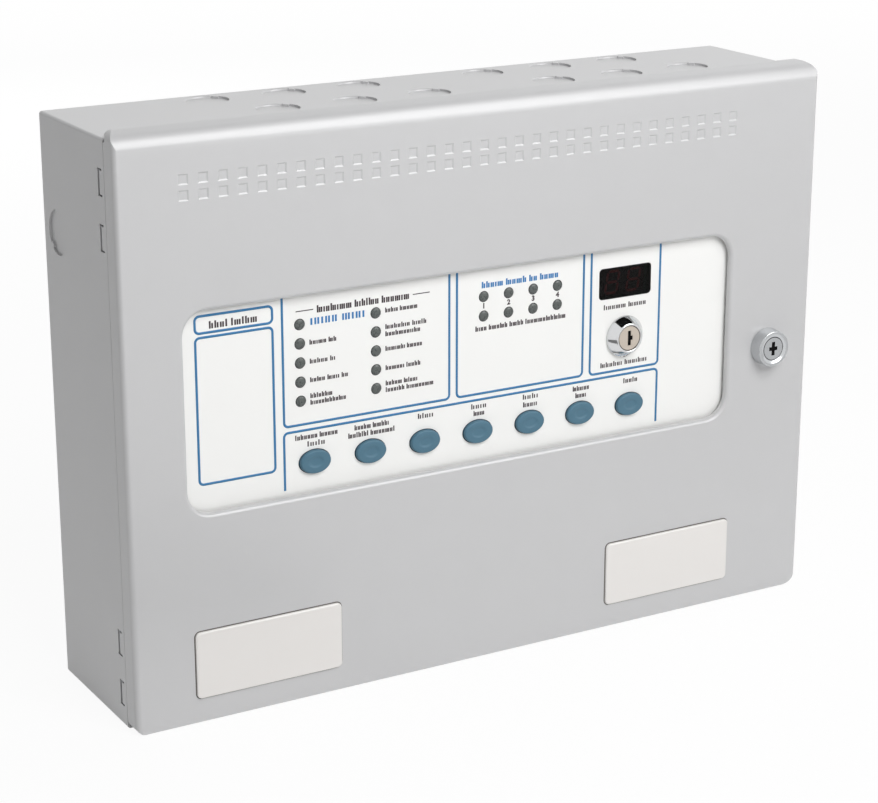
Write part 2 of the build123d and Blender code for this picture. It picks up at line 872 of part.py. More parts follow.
with BuildPart() as terminal_spacers:
    with BuildSketch(facing(back_depth)):
        with Locations(*terminal_screw_points):
            Circle(spacer_radius)
    extrude(amount=terminal_gap)
    with BuildSketch(facing(back_depth - terminal_gap)):
        with Locations(*terminal_screw_points):
            Circle(screw_radius + screw_gap)
    extrude(amount=-(screw_bite + screw_gap), mode=Mode.SUBTRACT)
save(terminal_spacers, "terminal_spacers")

with BuildPart() as terminal_screws:
    with BuildSketch(facing(terminal_depth)):
        with Locations(*terminal_screw_points):
            Circle(screw_head_radius)
    extrude(amount=screw_head)
    with BuildSketch(facing(terminal_depth)):
        with Locations(*terminal_screw_points):
            Circle(screw_radius)
    extrude(amount=-(board_sheet + screw_bite))
save(terminal_screws, "terminal_screws")

block_top = terminal_bottom + terminal_height - block_setdown
block_row = at(terminal_middle[0], block_top - block_tall / 2)
with BuildPart() as terminal_blocks:
    with BuildSketch(facing(terminal_depth)):
        with Locations(block_row):
            with GridLocations(block_pitch, 0, block_count, 1):
                Rectangle(block_length, block_tall)
    extrude(amount=block_deep)
    with BuildSketch(Plane.XY.offset(block_top)):
        with Locations((block_row[0], face_y + terminal_depth - block_deep / 2)):
            with GridLocations(block_pitch, 0, block_count, 1):
                with GridLocations(block_length / block_ways, 0, block_ways, 1):
                    Rectangle(block_way, block_way)
    extrude(amount=-block_entry_depth, mode=Mode.SUBTRACT)
save(terminal_blocks, "terminal_blocks")

with BuildPart() as relays:
    with BuildSketch(facing(terminal_depth)):
        with Locations(at(relay_across, relay_height)):
            with GridLocations(relay_pitch, 0, relay_count, 1):
                Rectangle(relay_size[0], relay_size[1])
    extrude(amount=relay_size[2])
save(relays, "relays")

with BuildPart() as fuse_holders:
    with BuildSketch(facing(terminal_depth)):
        with Locations(at(fuse_across, relay_height)):
            with GridLocations(fuse_pitch, 0, fuse_count, 1):
                Rectangle(fuse_size[0], fuse_size[1])
    extrude(amount=fuse_size[2])
save(fuse_holders, "fuse_holders")


# Standby batteries on a bracket with two raised tabs

battery_lefts = line_of(battery_first, battery_length + battery_gap, 2)
for battery_name, battery_left in zip(("battery_left", "battery_right"), battery_lefts):
    with BuildPart() as battery:
        with BuildSketch(facing(battery_front)):
            with Locations(at(battery_left, battery_bottom)):
                Rectangle(battery_length, battery_tall, align=(Align.MIN, Align.MIN))
        extrude(amount=-battery_deep)
        chamfer(battery.edges(), battery_edge)
    save(battery, battery_name)

with BuildPart() as battery_tabs:
    with BuildSketch(Plane.XY.offset(battery_bottom + battery_tall)):
        for battery_left in battery_lefts:
            with Locations((across(battery_left + battery_length / 2), face_y + battery_front + tab_inset)):
                with GridLocations(battery_length - 2 * tab_inset, 0, 2, 1):
                    Rectangle(tab_size[0], tab_size[1])
    extrude(amount=tab_size[2])
save(battery_tabs, "battery_tabs")

battery_end = battery_lefts[-1] + battery_length
bracket_screw_points = [
    (across(left + battery_length / 2 + s * bracket_tab_width), face_y + (bracket_front + battery_front) / 2)
    for left in battery_lefts
    for s in (-1, 1)
]
with BuildPart() as battery_bracket:
    with BuildSketch(Plane.XY.offset(sheet)):
        with Locations((across(battery_first), face_y + bracket_front)):
            Rectangle(
                battery_end - battery_first,
                back_depth - battery_back_gap - bracket_front,
                align=(Align.MIN, Align.MIN),
            )
        with Locations(*bracket_screw_points):
            Circle(screw_radius + screw_gap, mode=Mode.SUBTRACT)
    extrude(amount=sheet)
    with BuildSketch(facing(battery_front)):
        for battery_left in battery_lefts:
            with Locations(at(battery_left + battery_length / 2, sheet)):
                Rectangle(bracket_tab_width, bracket_tab_height, align=(Align.CENTER, Align.MIN))
    extrude(amount=sheet)
save(battery_bracket, "battery_bracket")

with BuildPart() as battery_bracket_screws:
    with BuildSketch(Plane.XY.offset(2 * sheet)):
        with Locations(*bracket_screw_points):
            Circle(screw_head_radius)
    extrude(amount=screw_head)
    with BuildSketch(Plane.XY.offset(2 * sheet)):
        with Locations(*bracket_screw_points):
            Circle(screw_radius)
    extrude(amount=-sheet)
save(battery_bracket_screws, "battery_bracket_screws")


# Power supply with a vented cover and two feet, and the mains terminals above it

supply_middle = (supply_left + supply_width / 2, supply_bottom + supply_tall / 2)
supply_screw_points = corners(supply_middle, supply_width + supply_foot, supply_tall - 2 * supply_foot)
with BuildPart() as power_supply:
    with BuildSketch(facing(back_depth)):
        with Locations(at(*supply_middle)):
            Rectangle(supply_width, supply_tall)
    extrude(amount=supply_deep)
    chamfer(power_supply.faces().sort_by(Axis.Y)[0].edges(), supply_edge)
    with BuildSketch(facing(back_depth)):
        with Locations(at(*supply_middle)):
            Rectangle(supply_width + 2 * supply_foot, supply_tall)
        with Locations(*supply_screw_points):
            Circle(screw_radius + screw_gap, mode=Mode.SUBTRACT)
    extrude(amount=supply_foot_sheet)
    with BuildSketch(facing(back_depth - supply_deep)):
        with Locations(at(*supply_middle)):
            with GridLocations(vent_pitch, 0, vent_count, 1):
                Rectangle(vent_width, vent_length)
    extrude(amount=-vent_depth, mode=Mode.SUBTRACT)
save(power_supply, "power_supply")

with BuildPart() as power_supply_screws:
    with BuildSketch(facing(back_depth - supply_foot_sheet)):
        with Locations(*supply_screw_points):
            Circle(supply_screw_head)
    extrude(amount=screw_head)
    with BuildSketch(facing(back_depth - supply_foot_sheet)):
        with Locations(*supply_screw_points):
            Circle(screw_radius)
    extrude(amount=-supply_foot_sheet)
save(power_supply_screws, "power_supply_screws")

mains_row = (mains_left + mains_size[0] / 2, mains_bottom + mains_size[2] / 2)
with BuildPart() as mains_terminals:
    with BuildSketch(facing(back_depth)):
        with Locations(at(*mains_row)):
            Rectangle(mains_size[0], mains_size[2])
    extrude(amount=mains_size[1])
    with BuildSketch(Plane.XY.offset(mains_bottom)):
        with Locations((across(mains_row[0]), face_y + back_depth - mains_size[1] / 2)):
            with GridLocations(mains_size[0] / mains_ways, 0, mains_ways, 1):
                Rectangle(mains_way, mains_way)
    extrude(amount=block_entry_depth, mode=Mode.SUBTRACT)
save(mains_terminals, "mains_terminals")


# Earth stud with two nuts

stud_point = at(stud_across, box_height - stud_setdown)
with BuildPart() as earth_stud:
    with BuildSketch(facing(back_depth)):
        with Locations(stud_point):
            Circle(stud_radius)
    extrude(amount=stud_length)
save(earth_stud, "earth_stud")

with BuildPart() as earth_nuts:
    for nut_depth in (back_depth, back_depth - 2 * stud_nut_thickness):
        with BuildSketch(facing(nut_depth)):
            with Locations(stud_point):
                RegularPolygon(stud_nut_flats / 2, 6, major_radius=False)
                Circle(stud_radius + fixed_gap, mode=Mode.SUBTRACT)
        extrude(amount=stud_nut_thickness)
save(earth_nuts, "earth_nuts")
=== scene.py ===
"""Dresses the leak detection controller over its CAD frame: finishes, label, lamps, buttons, locks and studio."""
import logging
import math
import random
from dataclasses import dataclass, field
from enum import Enum
from typing import Iterable, Sequence

import bmesh
import bpy
from mathutils import Euler, Matrix, Vector


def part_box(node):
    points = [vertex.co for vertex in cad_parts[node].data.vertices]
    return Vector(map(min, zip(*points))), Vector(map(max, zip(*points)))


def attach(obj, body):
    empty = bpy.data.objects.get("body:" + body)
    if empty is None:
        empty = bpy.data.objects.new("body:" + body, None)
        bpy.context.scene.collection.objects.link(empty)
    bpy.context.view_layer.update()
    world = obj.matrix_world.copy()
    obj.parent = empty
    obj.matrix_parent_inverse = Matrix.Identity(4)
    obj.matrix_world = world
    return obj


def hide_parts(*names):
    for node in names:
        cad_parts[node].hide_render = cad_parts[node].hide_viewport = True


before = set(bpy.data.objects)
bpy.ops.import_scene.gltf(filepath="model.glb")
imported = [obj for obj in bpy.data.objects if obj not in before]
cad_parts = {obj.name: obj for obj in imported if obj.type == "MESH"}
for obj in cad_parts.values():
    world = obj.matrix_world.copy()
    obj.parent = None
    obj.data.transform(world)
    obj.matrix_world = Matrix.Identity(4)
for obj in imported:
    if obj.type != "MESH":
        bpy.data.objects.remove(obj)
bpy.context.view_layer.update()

log = logging.getLogger("panel")
MM = 0.001
WHITE = (1.0, 1.0, 1.0, 1.0)
Pair = tuple[float, float]
Triple = tuple[float, float, float]
Out = tuple[bpy.types.Node, str | int]


def linear(code: str) -> tuple[float, float, float, float]:
    """Turns a written colour into the linear values that a shader takes.

    Args:
        code: Six hexadecimal digits of an sRGB colour.

    Returns:
        Linear red, green and blue, with an alpha of 1.
    """
    parts = [int(code[i : i + 2], 16) / 255 for i in (0, 2, 4)]
    red, green, blue = [c / 12.92 if c <= 0.04045 else ((c + 0.055) / 1.055) ** 2.4 for c in parts]
    return red, green, blue, 1.0


class Grain(Enum):
    """How a finish is broken up at close range: noise scale per metre and stretch along X, Y and Z."""

    POWDER = (1500.0, (1.0, 1.0, 1.0))
    MOULDED = (900.0, (1.0, 1.0, 1.0))
    BRUSHED = (700.0, (0.05, 1.0, 1.0))
    TURNED = (420.0, (1.0, 1.0, 1.0))
    FILM = (320.0, (1.0, 1.0, 1.0))


def linked(name: str, data: bpy.types.ID) -> bpy.types.Object:
    """Makes an object and links it to the scene.

    Args:
        name: The object's name.
        data: Its mesh, curve, lamp or camera.

    Returns:
        The linked object.
    """
    made = bpy.data.objects.new(name, data)
    bpy.context.scene.collection.objects.link(made)
    return made


class Tree:
    """Short ways to build node trees."""

    @staticmethod
    def group(name: str, kind: str, takes: dict[str, str], gives: dict[str, str]) -> bpy.types.NodeTree:
        """Starts a node group.

        Args:
            name: The group's name.
            kind: Its type of tree.
            takes: Type of each input by name.
            gives: Type of each output by name.

        Returns:
            The group, with its sockets and no nodes.
        """
        tree = bpy.data.node_groups.new(name, kind)
        for side, sockets in (("INPUT", takes), ("OUTPUT", gives)):
            for label, socket in sockets.items():
                tree.interface.new_socket(label, in_out=side, socket_type=f"NodeSocket{socket}")
        return tree

    @staticmethod
    def nodes(tree: bpy.types.NodeTree, *kinds: str) -> list[bpy.types.Node]:
        """Adds a node of each kind and gives them in that order."""
        return [tree.nodes.new(kind) for kind in kinds]

    @staticmethod
    def fill(node: bpy.types.Node, **values: object) -> None:
        """Sets plain values on a node's inputs, with an underscore for each space in a name."""
        for name, value in values.items():
            node.inputs[name.replace("_", " ")].default_value = value

    @staticmethod
    def join(tree: bpy.types.NodeTree, *links: tuple[bpy.types.Node, str | int, bpy.types.Node, str | int]) -> None:
        """Links a node's output to another's input, for each four of node, output, node and input."""
        for source, given, target, taken in links:
            tree.links.new(source.outputs[given], target.inputs[taken])

    @classmethod
    def math(cls, tree: bpy.types.NodeTree, kind: str, *values: float | Out) -> Out:
        """Adds a math node.

        Args:
            tree: The tree that takes it.
            kind: The operation.
            values: For each input a number, or a node and its output.

        Returns:
            The node and its output.
        """
        node = tree.nodes.new("ShaderNodeMath")
        node.operation = kind
        for i, value in enumerate(values):
            if isinstance(value, tuple):
                cls.join(tree, (*value, node, i))
            else:
                node.inputs[i].default_value = value
        return node, 0


class SurfaceGrain:
    """Shader group shared by every finish: colour, roughness and height that vary over the surface."""

    NAME = "surface_grain"
    COARSE = 0.035
    FINE_DETAIL = 3.0
    WIDE_DETAIL = 4.0
    MEAN = 0.5

    @classmethod
    def tree(cls) -> bpy.types.NodeTree:
        """Builds the group once and gives it out again after that.

        Returns:
            The shader node group.
        """
        made = bpy.data.node_groups.get(cls.NAME)
        if made:
            return made
        takes = {"Color": "Color", "Mottle": "Float", "Roughness": "Float", "Spread": "Float", "Scale": "Float"}
        gives = {"Color": "Color", "Roughness": "Float", "Height": "Float"}
        tree = Tree.group(cls.NAME, "ShaderNodeTree", takes | {"Stretch": "Vector"}, gives)
        given, out, place, stretch, fine, wide, shade = Tree.nodes(
            tree, "NodeGroupInput", "NodeGroupOutput", "ShaderNodeTexCoord", "ShaderNodeVectorMath",
            "ShaderNodeTexNoise", "ShaderNodeTexNoise", "ShaderNodeVectorMath",
        )
        stretch.operation, shade.operation = "MULTIPLY", "SCALE"
        Tree.fill(fine, Detail=cls.FINE_DETAIL)
        Tree.fill(wide, Detail=cls.WIDE_DETAIL)
        coarse = Tree.math(tree, "MULTIPLY", (given, "Scale"), cls.COARSE)
        swing = Tree.math(tree, "SUBTRACT", (wide, "Fac"), cls.MEAN)
        gain = Tree.math(tree, "ADD", Tree.math(tree, "MULTIPLY", swing, (given, "Mottle")), 1.0)
        ripple = Tree.math(tree, "SUBTRACT", (fine, "Fac"), cls.MEAN)
        polish = Tree.math(tree, "MULTIPLY", ripple, (given, "Spread"))
        rough = Tree.math(tree, "ADD", polish, (given, "Roughness"))
        Tree.join(
            tree,
            (place, "Object", stretch, 0), (given, "Stretch", stretch, 1),
            (stretch, "Vector", fine, "Vector"), (given, "Scale", fine, "Scale"),
            (stretch, "Vector", wide, "Vector"), (*coarse, wide, "Scale"),
            (given, "Color", shade, 0), (*gain, shade, "Scale"),
            (shade, "Vector", out, "Color"), (*rough, out, "Roughness"), (fine, "Fac", out, "Height"),
        )
        return tree


@dataclass(frozen=True)
class Finish:
    """One finish of the panel, made into a material the first time it is asked for."""

    name: str
    color: str
    roughness: float
    grain: Grain
    slot: str
    metallic: float = 0.0
    mottle: float = 0.06
    spread: float = 0.1
    bump: float = 0.15
    relief: float = 0.02
    coat: float = 0.0
    alpha: float = 1.0
    specular: float = 0.5

    def material(self) -> bpy.types.Material:
        """Builds the material once and gives it out again after that.

        Returns:
            The material of this finish.
        """
        label = f"{self.name}_finish"
        made = bpy.data.materials.get(label)
        if made:
            return made
        made = bpy.data.materials.new(label)
        made.use_nodes = True
        tree = made.node_tree
        shader = tree.nodes["Principled BSDF"]
        grain, bump = Tree.nodes(tree, "ShaderNodeGroup", "ShaderNodeBump")
        grain.node_tree = SurfaceGrain.tree()
        scale, stretch = self.grain.value
        Tree.fill(grain, Color=linear(self.color), Mottle=self.mottle, Roughness=self.roughness)
        Tree.fill(grain, Spread=self.spread, Scale=scale, Stretch=stretch)
        Tree.fill(bump, Strength=self.bump, Distance=self.relief * MM)
        Tree.fill(shader, Metallic=self.metallic, Coat_Weight=self.coat, Alpha=self.alpha)
        Tree.fill(shader, Specular_IOR_Level=self.specular)
        Tree.join(
            tree,
            (grain, "Height", bump, "Height"), (grain, "Color", shader, "Base Color"),
            (grain, "Roughness", shader, "Roughness"), (bump, "Normal", shader, "Normal"),
        )
        return made


PAINT = Finish("powder_coat", "c3c3c4", 0.34, Grain.POWDER, "case_paint", mottle=0.03, bump=0.25, specular=1.0)
PLATE = Finish("bare_plate", "e5e2df", 0.36, Grain.FILM, "plate_film", mottle=0.02, bump=0.08, coat=0.5)
# Painted contact shadow: the mid-dark ring round each bare plate on the lid.
CONTACT_SHADOW = Finish("plate_contact_shadow", "625e5b", 0.80, Grain.MOULDED, "plate_film", mottle=0.1, specular=0.1)
LABEL = Finish("label_film", "f3f3f1", 0.42, Grain.FILM, "label_film", mottle=0.015, bump=0.08)
CHROME = Finish("bezel_chrome", "d6d7d8", 0.07, Grain.TURNED, "lock_chrome", metallic=1.0, mottle=0.02, spread=0.03)
SATIN = Finish("satin_chrome", "c8cacc", 0.15, Grain.TURNED, "lock_chrome", metallic=1.0, mottle=0.04)
NICKEL = Finish("plug_nickel", "c9beb2", 0.36, Grain.TURNED, "plug_nickel", metallic=0.6, mottle=0.06)
ZINC = Finish("bright_zinc", "b4b6b8", 0.36, Grain.BRUSHED, "zinc_steel", metallic=1.0, mottle=0.12)
LENS = Finish("lamp_lens", "4c514f", 0.28, Grain.MOULDED, "lamp_lens", mottle=0.1, coat=0.3)
SMOKE = Finish(
    "smoked_filter", "0e0c0c", 0.16, Grain.FILM, "filter_smoke", mottle=0.05, bump=0.03, alpha=0.55, specular=0.12
)
DIGIT = Finish("digit_face", "100b0b", 0.40, Grain.MOULDED, "digit_face", mottle=0.1)
SEGMENT = Finish("unlit_segment", "8a2226", 0.45, Grain.MOULDED, "digit_face", mottle=0.1)
TEAL = Finish("teal_cap", "466e82", 0.48, Grain.MOULDED, "button_teal", mottle=0.05, bump=0.3, relief=0.03)
BOARD = Finish("solder_mask", "1c4a30", 0.38, Grain.FILM, "board_green", mottle=0.25)
BLACK = Finish("black_moulding", "1d1d1f", 0.45, Grain.MOULDED, "black_moulding", mottle=0.12)
GREEN = Finish("terminal_moulding", "2f7d52", 0.45, Grain.MOULDED, "terminal_green", mottle=0.08)
BLUE = Finish("relay_moulding", "22436f", 0.35, Grain.MOULDED, "relay_blue", mottle=0.08)
BATTERY = Finish("battery_moulding", "2b2b2e", 0.50, Grain.MOULDED, "battery_case", mottle=0.12, bump=0.3)
BRASS = Finish("plain_brass", "b4935a", 0.34, Grain.TURNED, "tab_brass", metallic=1.0, mottle=0.1)
FRAME_INK = Finish("blue_ink", "2a75a8", 0.50, Grain.FILM, "label_film", mottle=0.04)
HEADING_INK = Finish("heading_ink", "2274b1", 0.50, Grain.FILM, "label_film", mottle=0.04)
TEXT_INK = Finish("dark_ink", "33262b", 0.55, Grain.FILM, "label_film", mottle=0.08)
# Dark teal-grey ring round each button: painted shade in the gap between cap and label.
GAP_SHADE = Finish("button_gap_shade", "20303a", 0.70, Grain.MOULDED, "button_teal", mottle=0.1, specular=0.2)
# Near-black finish that paints shade: in the grooves round the plugs, in the keyholes, in the gaps round the lamps,
# and in the screw slots and recesses.
SHADE = Finish("deep_shade", "070606", 0.80, Grain.MOULDED, "black_moulding", mottle=0.1, specular=0.1)


@dataclass(frozen=True)
class Panel:
    """Places on the panel, in millimetres from the lid's left edge, its face and the bottom."""

    left: float
    face: float

    @classmethod
    def from_frame(cls) -> "Panel":
        """Reads the lid's corner from the frame."""
        low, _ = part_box("lid")
        return cls(low.x, low.y)

    def point(self, across: float, depth: float, height: float) -> Vector:
        """Gives a place in the row frame, in metres."""
        return Vector((self.left + across * MM, self.face + depth * MM, height * MM))

    def standing(self, depth: float) -> Matrix:
        """Stands a flat drawing up, facing forwards at that depth, with its own Z as thickness."""
        return Matrix.Translation(self.point(0.0, depth, 0.0)) @ Matrix.Rotation(math.pi / 2, 4, "X")

    def depths_of(self, node: str) -> Pair:
        """Gives the depths of a node's front and back, in millimetres."""
        low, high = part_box(node)
        return (low.y - self.face) / MM, (high.y - self.face) / MM

    def depth_of(self, node: str) -> float:
        """Gives the depth of a node's front, in millimetres."""
        return self.depths_of(node)[0]

    def middle_of(self, node: str) -> Pair:
        """Gives the middle of a node seen from the front, in millimetres."""
        low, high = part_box(node)
        return ((low.x + high.x) / 2 - self.left) / MM, (low.z + high.z) / 2 / MM


PANEL = Panel.from_frame()


class Maker:
    """Turns meshes into finished pieces that ride on a body."""

    MERGE = 1e-6

    @staticmethod
    def piece(
        name: str, mesh: bpy.types.Mesh, finish: Finish, body: str, replaces: Sequence[str] = ()
    ) -> bpy.types.Object:
        """Links a mesh as a finished piece.

        Args:
            name: The piece's name.
            mesh: Its mesh, in place in the row frame.
            finish: What it is covered with.
            body: The CAD body that it moves with.
            replaces: CAD nodes that it stands for.

        Returns:
            The finished object.
        """
        mesh.name = name
        mesh.materials.clear()
        mesh.materials.append(finish.material())
        obj = linked(name, mesh)
        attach(obj, body)
        if replaces:
            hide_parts(*replaces)
        log.info("%s: %d faces on %s", name, len(mesh.polygons), body)
        return obj

    @staticmethod
    def mesh_of(shape: bmesh.types.BMesh, crease: float = 35.0) -> bpy.types.Mesh:
        """Closes a shape into a smooth mesh with creased edges.

        Args:
            shape: The shape, freed here.
            crease: Angle in degrees above which an edge stays sharp.

        Returns:
            The mesh.
        """
        limit = math.radians(crease)
        for face in shape.faces:
            face.smooth = True
        for edge in shape.edges:
            edge.smooth = len(edge.link_faces) == 2 and edge.calc_face_angle(0.0) < limit
        mesh = bpy.data.meshes.new("shape")
        shape.to_mesh(mesh)
        shape.free()
        return mesh

    @staticmethod
    def baked(source: bpy.types.Object) -> bpy.types.Mesh:
        """Evaluates an object with its modifiers into a plain mesh and removes the object.

        Args:
            source: The object to evaluate.

        Returns:
            The plain mesh.
        """
        bpy.context.view_layer.update()
        graph = bpy.context.evaluated_depsgraph_get()
        mesh = bpy.data.meshes.new_from_object(source.evaluated_get(graph), depsgraph=graph)
        source.modifiers.clear()
        bpy.data.objects.remove(source)
        return mesh

    @classmethod
    def grown(cls, data: bpy.types.ID, tree: bpy.types.NodeTree, values: dict[str, object]) -> bpy.types.Mesh:
        """Runs a geometry node tree over points or lines.

        Args:
            data: The mesh or curve that it starts from.
            tree: The tree.
            values: Its inputs by name.

        Returns:
            The plain mesh that it gives.
        """
        holder = linked("holder", data)
        modifier = holder.modifiers.new("grow", "NODES")
        modifier.node_group = tree
        inputs = {socket.name: socket.identifier for socket in tree.interface.items_tree if socket.in_out == "INPUT"}
        for name, value in values.items():
            modifier[inputs[name]] = value
        return cls.baked(holder)

    @classmethod
    def eased_copy(cls, node: str, crease: float) -> bpy.types.Mesh:
        """Copies a CAD node as a merged mesh whose bends shade smoothly beside flat faces.

        Args:
            node: The CAD node.
            crease: Angle in degrees above which an edge stays sharp.

        Returns:
            The copied mesh.
        """
        shape = bmesh.new()
        shape.from_mesh(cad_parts[node].data)
        bmesh.ops.remove_doubles(shape, verts=shape.verts, dist=cls.MERGE)
        source = linked("copy", cls.mesh_of(shape, crease))
        weigh = source.modifiers.new("weigh", "WEIGHTED_NORMAL")
        weigh.keep_sharp = True
        return cls.baked(source)

    @classmethod
    def eased(cls, name: str, node: str, finish: Finish, body: str, crease: float = 35.0) -> bpy.types.Object:
        """Replaces a CAD node by its smoothly shaded copy."""
        return cls.piece(name, cls.eased_copy(node, crease), finish, body, (node,))


class Shapes:
    """Closed shapes that several pieces share."""

    BEND_SHARE = 0.45
    ON_AXIS = 1e-6
    LEAST_CORNER = 0.05

    @classmethod
    def rounded(cls, points: Sequence[Pair], radius: float, steps: int = 4) -> list[Pair]:
        """Rounds the inner corners of an open line.

        Args:
            points: Corners of the line.
            radius: How far back from each corner the bend starts.
            steps: Divisions of each bend.

        Returns:
            The rounded line.
        """
        line = [points[0]]
        for before, corner, after in zip(points, points[1:], points[2:]):
            start, middle, end = Vector(before), Vector(corner), Vector(after)
            back = min(radius, (start - middle).length * cls.BEND_SHARE)
            ahead = min(radius, (end - middle).length * cls.BEND_SHARE)
            enter = middle + (start - middle).normalized() * back
            leave = middle + (end - middle).normalized() * ahead
            for i in range(steps + 1):
                t = i / steps
                spot = enter.lerp(middle, t).lerp(middle.lerp(leave, t), t)
                line.append((spot.x, spot.y))
        line.append(points[-1])
        return line

    @classmethod
    def turned(
        cls, profile: Sequence[Pair], centre: Pair, segments: int = 72, closed: bool = False
    ) -> bmesh.types.BMesh:
        """Turns a profile about an axis that is square to the lid's face.

        Args:
            profile: Radius and depth pairs in millimetres.
            centre: Across and height of the axis in millimetres.
            segments: Divisions round the axis.
            closed: Whether the last point joins the first.

        Returns:
            The turned shape, facing outwards.
        """
        shape = bmesh.new()
        rings: list[list[bmesh.types.BMVert]] = []
        for radius, depth in profile:
            turns = [math.tau * i / segments for i in range(1 if radius < cls.ON_AXIS else segments)]
            spots = [
                PANEL.point(centre[0] + radius * math.cos(turn), depth, centre[1] + radius * math.sin(turn))
                for turn in turns
            ]
            rings.append([shape.verts.new(spot) for spot in spots])
        pairs = list(zip(rings, rings[1:]))
        if closed:
            pairs.append((rings[-1], rings[0]))
        for ring, after in pairs:
            for i in range(segments):
                j = (i + 1) % segments
                corners = [ring[i % len(ring)], ring[j % len(ring)], after[j % len(after)], after[i % len(after)]]
                kept = list(dict.fromkeys(corners))
                if len(kept) > 2:
                    shape.faces.new(kept)
        bmesh.ops.recalc_face_normals(shape, faces=shape.faces)
        return shape

    @classmethod
    def turned_about_origin(cls, profile: Sequence[Pair], segments: int, closed: bool = False) -> bmesh.types.BMesh:
        """Turns a profile about the row frame's own origin, for shapes that are set at points.

        Args:
            profile: Radius and depth pairs in millimetres.
            segments: Divisions round the axis.
            closed: Whether the last point joins the first.

        Returns:
            The turned shape, facing outwards.
        """
        shape = cls.turned(profile, (0.0, 0.0), segments, closed)
        bmesh.ops.translate(shape, verts=shape.verts, vec=-PANEL.point(0.0, 0.0, 0.0))
        return shape

    @staticmethod
    def ring(inner: float, outer: float, front: float, back: float) -> list[Pair]:
        """Gives the closed profile of a plain ring, as radius and depth pairs."""
        return [(inner, back), (inner, front), (outer, front), (outer, back)]

    @staticmethod
    def capped(outlines: Sequence[Sequence[Vector]]) -> bmesh.types.BMesh:
        """Joins outlines of equal length into a closed skin with flat ends.

        Args:
            outlines: Loops of points, from one end to the other.

        Returns:
            The closed shape, facing outwards.
        """
        shape = bmesh.new()
        loops = [[shape.verts.new(spot) for spot in loop] for loop in outlines]
        count = len(loops[0])
        for loop, after in zip(loops, loops[1:]):
            for i in range(count):
                j = (i + 1) % count
                shape.faces.new((loop[i], loop[j], after[j], after[i]))
        shape.faces.new(loops[0])
        shape.faces.new(list(reversed(loops[-1])))
        bmesh.ops.recalc_face_normals(shape, faces=shape.faces)
        return shape

    @classmethod
    def cross(
        cls, centre: Pair, upright: Pair, level: Pair, offset: float, front: float, back: float
    ) -> bmesh.types.BMesh:
        """Makes a prism whose outline is an upright bar crossed by a level one.

        Args:
            centre: Across and height of the upright bar's middle, in millimetres.
            upright: Width and height of the upright bar.
            level: Width and height of the bar across it.
            offset: How far the level bar's middle is to the right.
            front: Depth of the prism's front.
            back: Depth of its back.

        Returns:
            The prism.
        """
        wide, tall = upright[0] / 2, upright[1] / 2
        left, right, half = offset - level[0] / 2, offset + level[0] / 2, level[1] / 2
        left = min(left, -wide)
        outline = [
            (-wide, -tall), (wide, -tall), (wide, -half), (right, -half), (right, half), (wide, half),
            (wide, tall), (-wide, tall), (-wide, half), (left, half), (left, -half), (-wide, -half),
        ]
        if left == -wide:
            outline = outline[:8]
        loops = [[PANEL.point(centre[0] + x, depth, centre[1] + z) for x, z in outline] for depth in (front, back)]
        return cls.capped(loops)

    @classmethod
    def round_rectangle(
        cls, low: Pair, high: Pair, corner: float, inset: float, depth: float, steps: int = 6
    ) -> list[Vector]:
        """Gives the outline of a rounded rectangle at a depth.

        Args:
            low: Across and height of its lower left corner, in millimetres.
            high: Across and height of its upper right corner.
            corner: Corner radius.
            inset: How far the outline is moved in.
            depth: Depth behind the lid's face.
            steps: Divisions of each corner.

        Returns:
            Points in the row frame.
        """
        radius = max(corner - inset, cls.LEAST_CORNER)
        left, right, bottom, top = low[0] + corner, high[0] - corner, low[1] + corner, high[1] - corner
        spots = []
        for quarter, (x, z) in enumerate(((right, top), (left, top), (left, bottom), (right, bottom))):
            for i in range(steps + 1):
                turn = math.pi / 2 * (quarter + i / steps)
                spots.append(PANEL.point(x + radius * math.cos(turn), depth, z + radius * math.sin(turn)))
        return spots

    @classmethod
    def soft_plate(
        cls, box: tuple[Vector, Vector], corner: float, edge: float, steps: int = 4, spread: float = 1.0
    ) -> bmesh.types.BMesh:
        """Makes an upright plate whose front edge is rounded off.

        Args:
            box: Its lower and upper corners in the row frame.
            corner: Corner radius in millimetres.
            edge: Radius of the front edge in millimetres.
            steps: Divisions of the front edge.
            spread: How many times as wide as deep the rounding is.

        Returns:
            The plate.
        """
        low, high = box
        first = ((low.x - PANEL.left) / MM, low.z / MM)
        last = ((high.x - PANEL.left) / MM, high.z / MM)
        front, back = (low.y - PANEL.face) / MM, (high.y - PANEL.face) / MM
        loops = [cls.round_rectangle(first, last, corner, 0.0, back)]
        for i in range(steps + 1):
            turn = math.pi / 2 * i / steps
            inset, fall = edge * spread * (1 - math.cos(turn)), edge * (1 - math.sin(turn))
            loops.append(cls.round_rectangle(first, last, corner, inset, front + fall))
        return cls.capped(loops)

    @staticmethod
    def oval(centre: Pair, half_width: float, half_height: float, depth: float, count: int = 64) -> list[Vector]:
        """Gives the outline of an oval at a depth.

        Args:
            centre: Across and height of its middle, in millimetres.
            half_width: Half its width.
            half_height: Half its height.
            depth: Depth behind the lid's face.
            count: How many points it has.

        Returns:
            Points in the row frame.
        """
        turns = [math.tau * i / count for i in range(count)]
        return [
            PANEL.point(centre[0] + half_width * math.cos(t), depth, centre[1] + half_height * math.sin(t))
            for t in turns
        ]


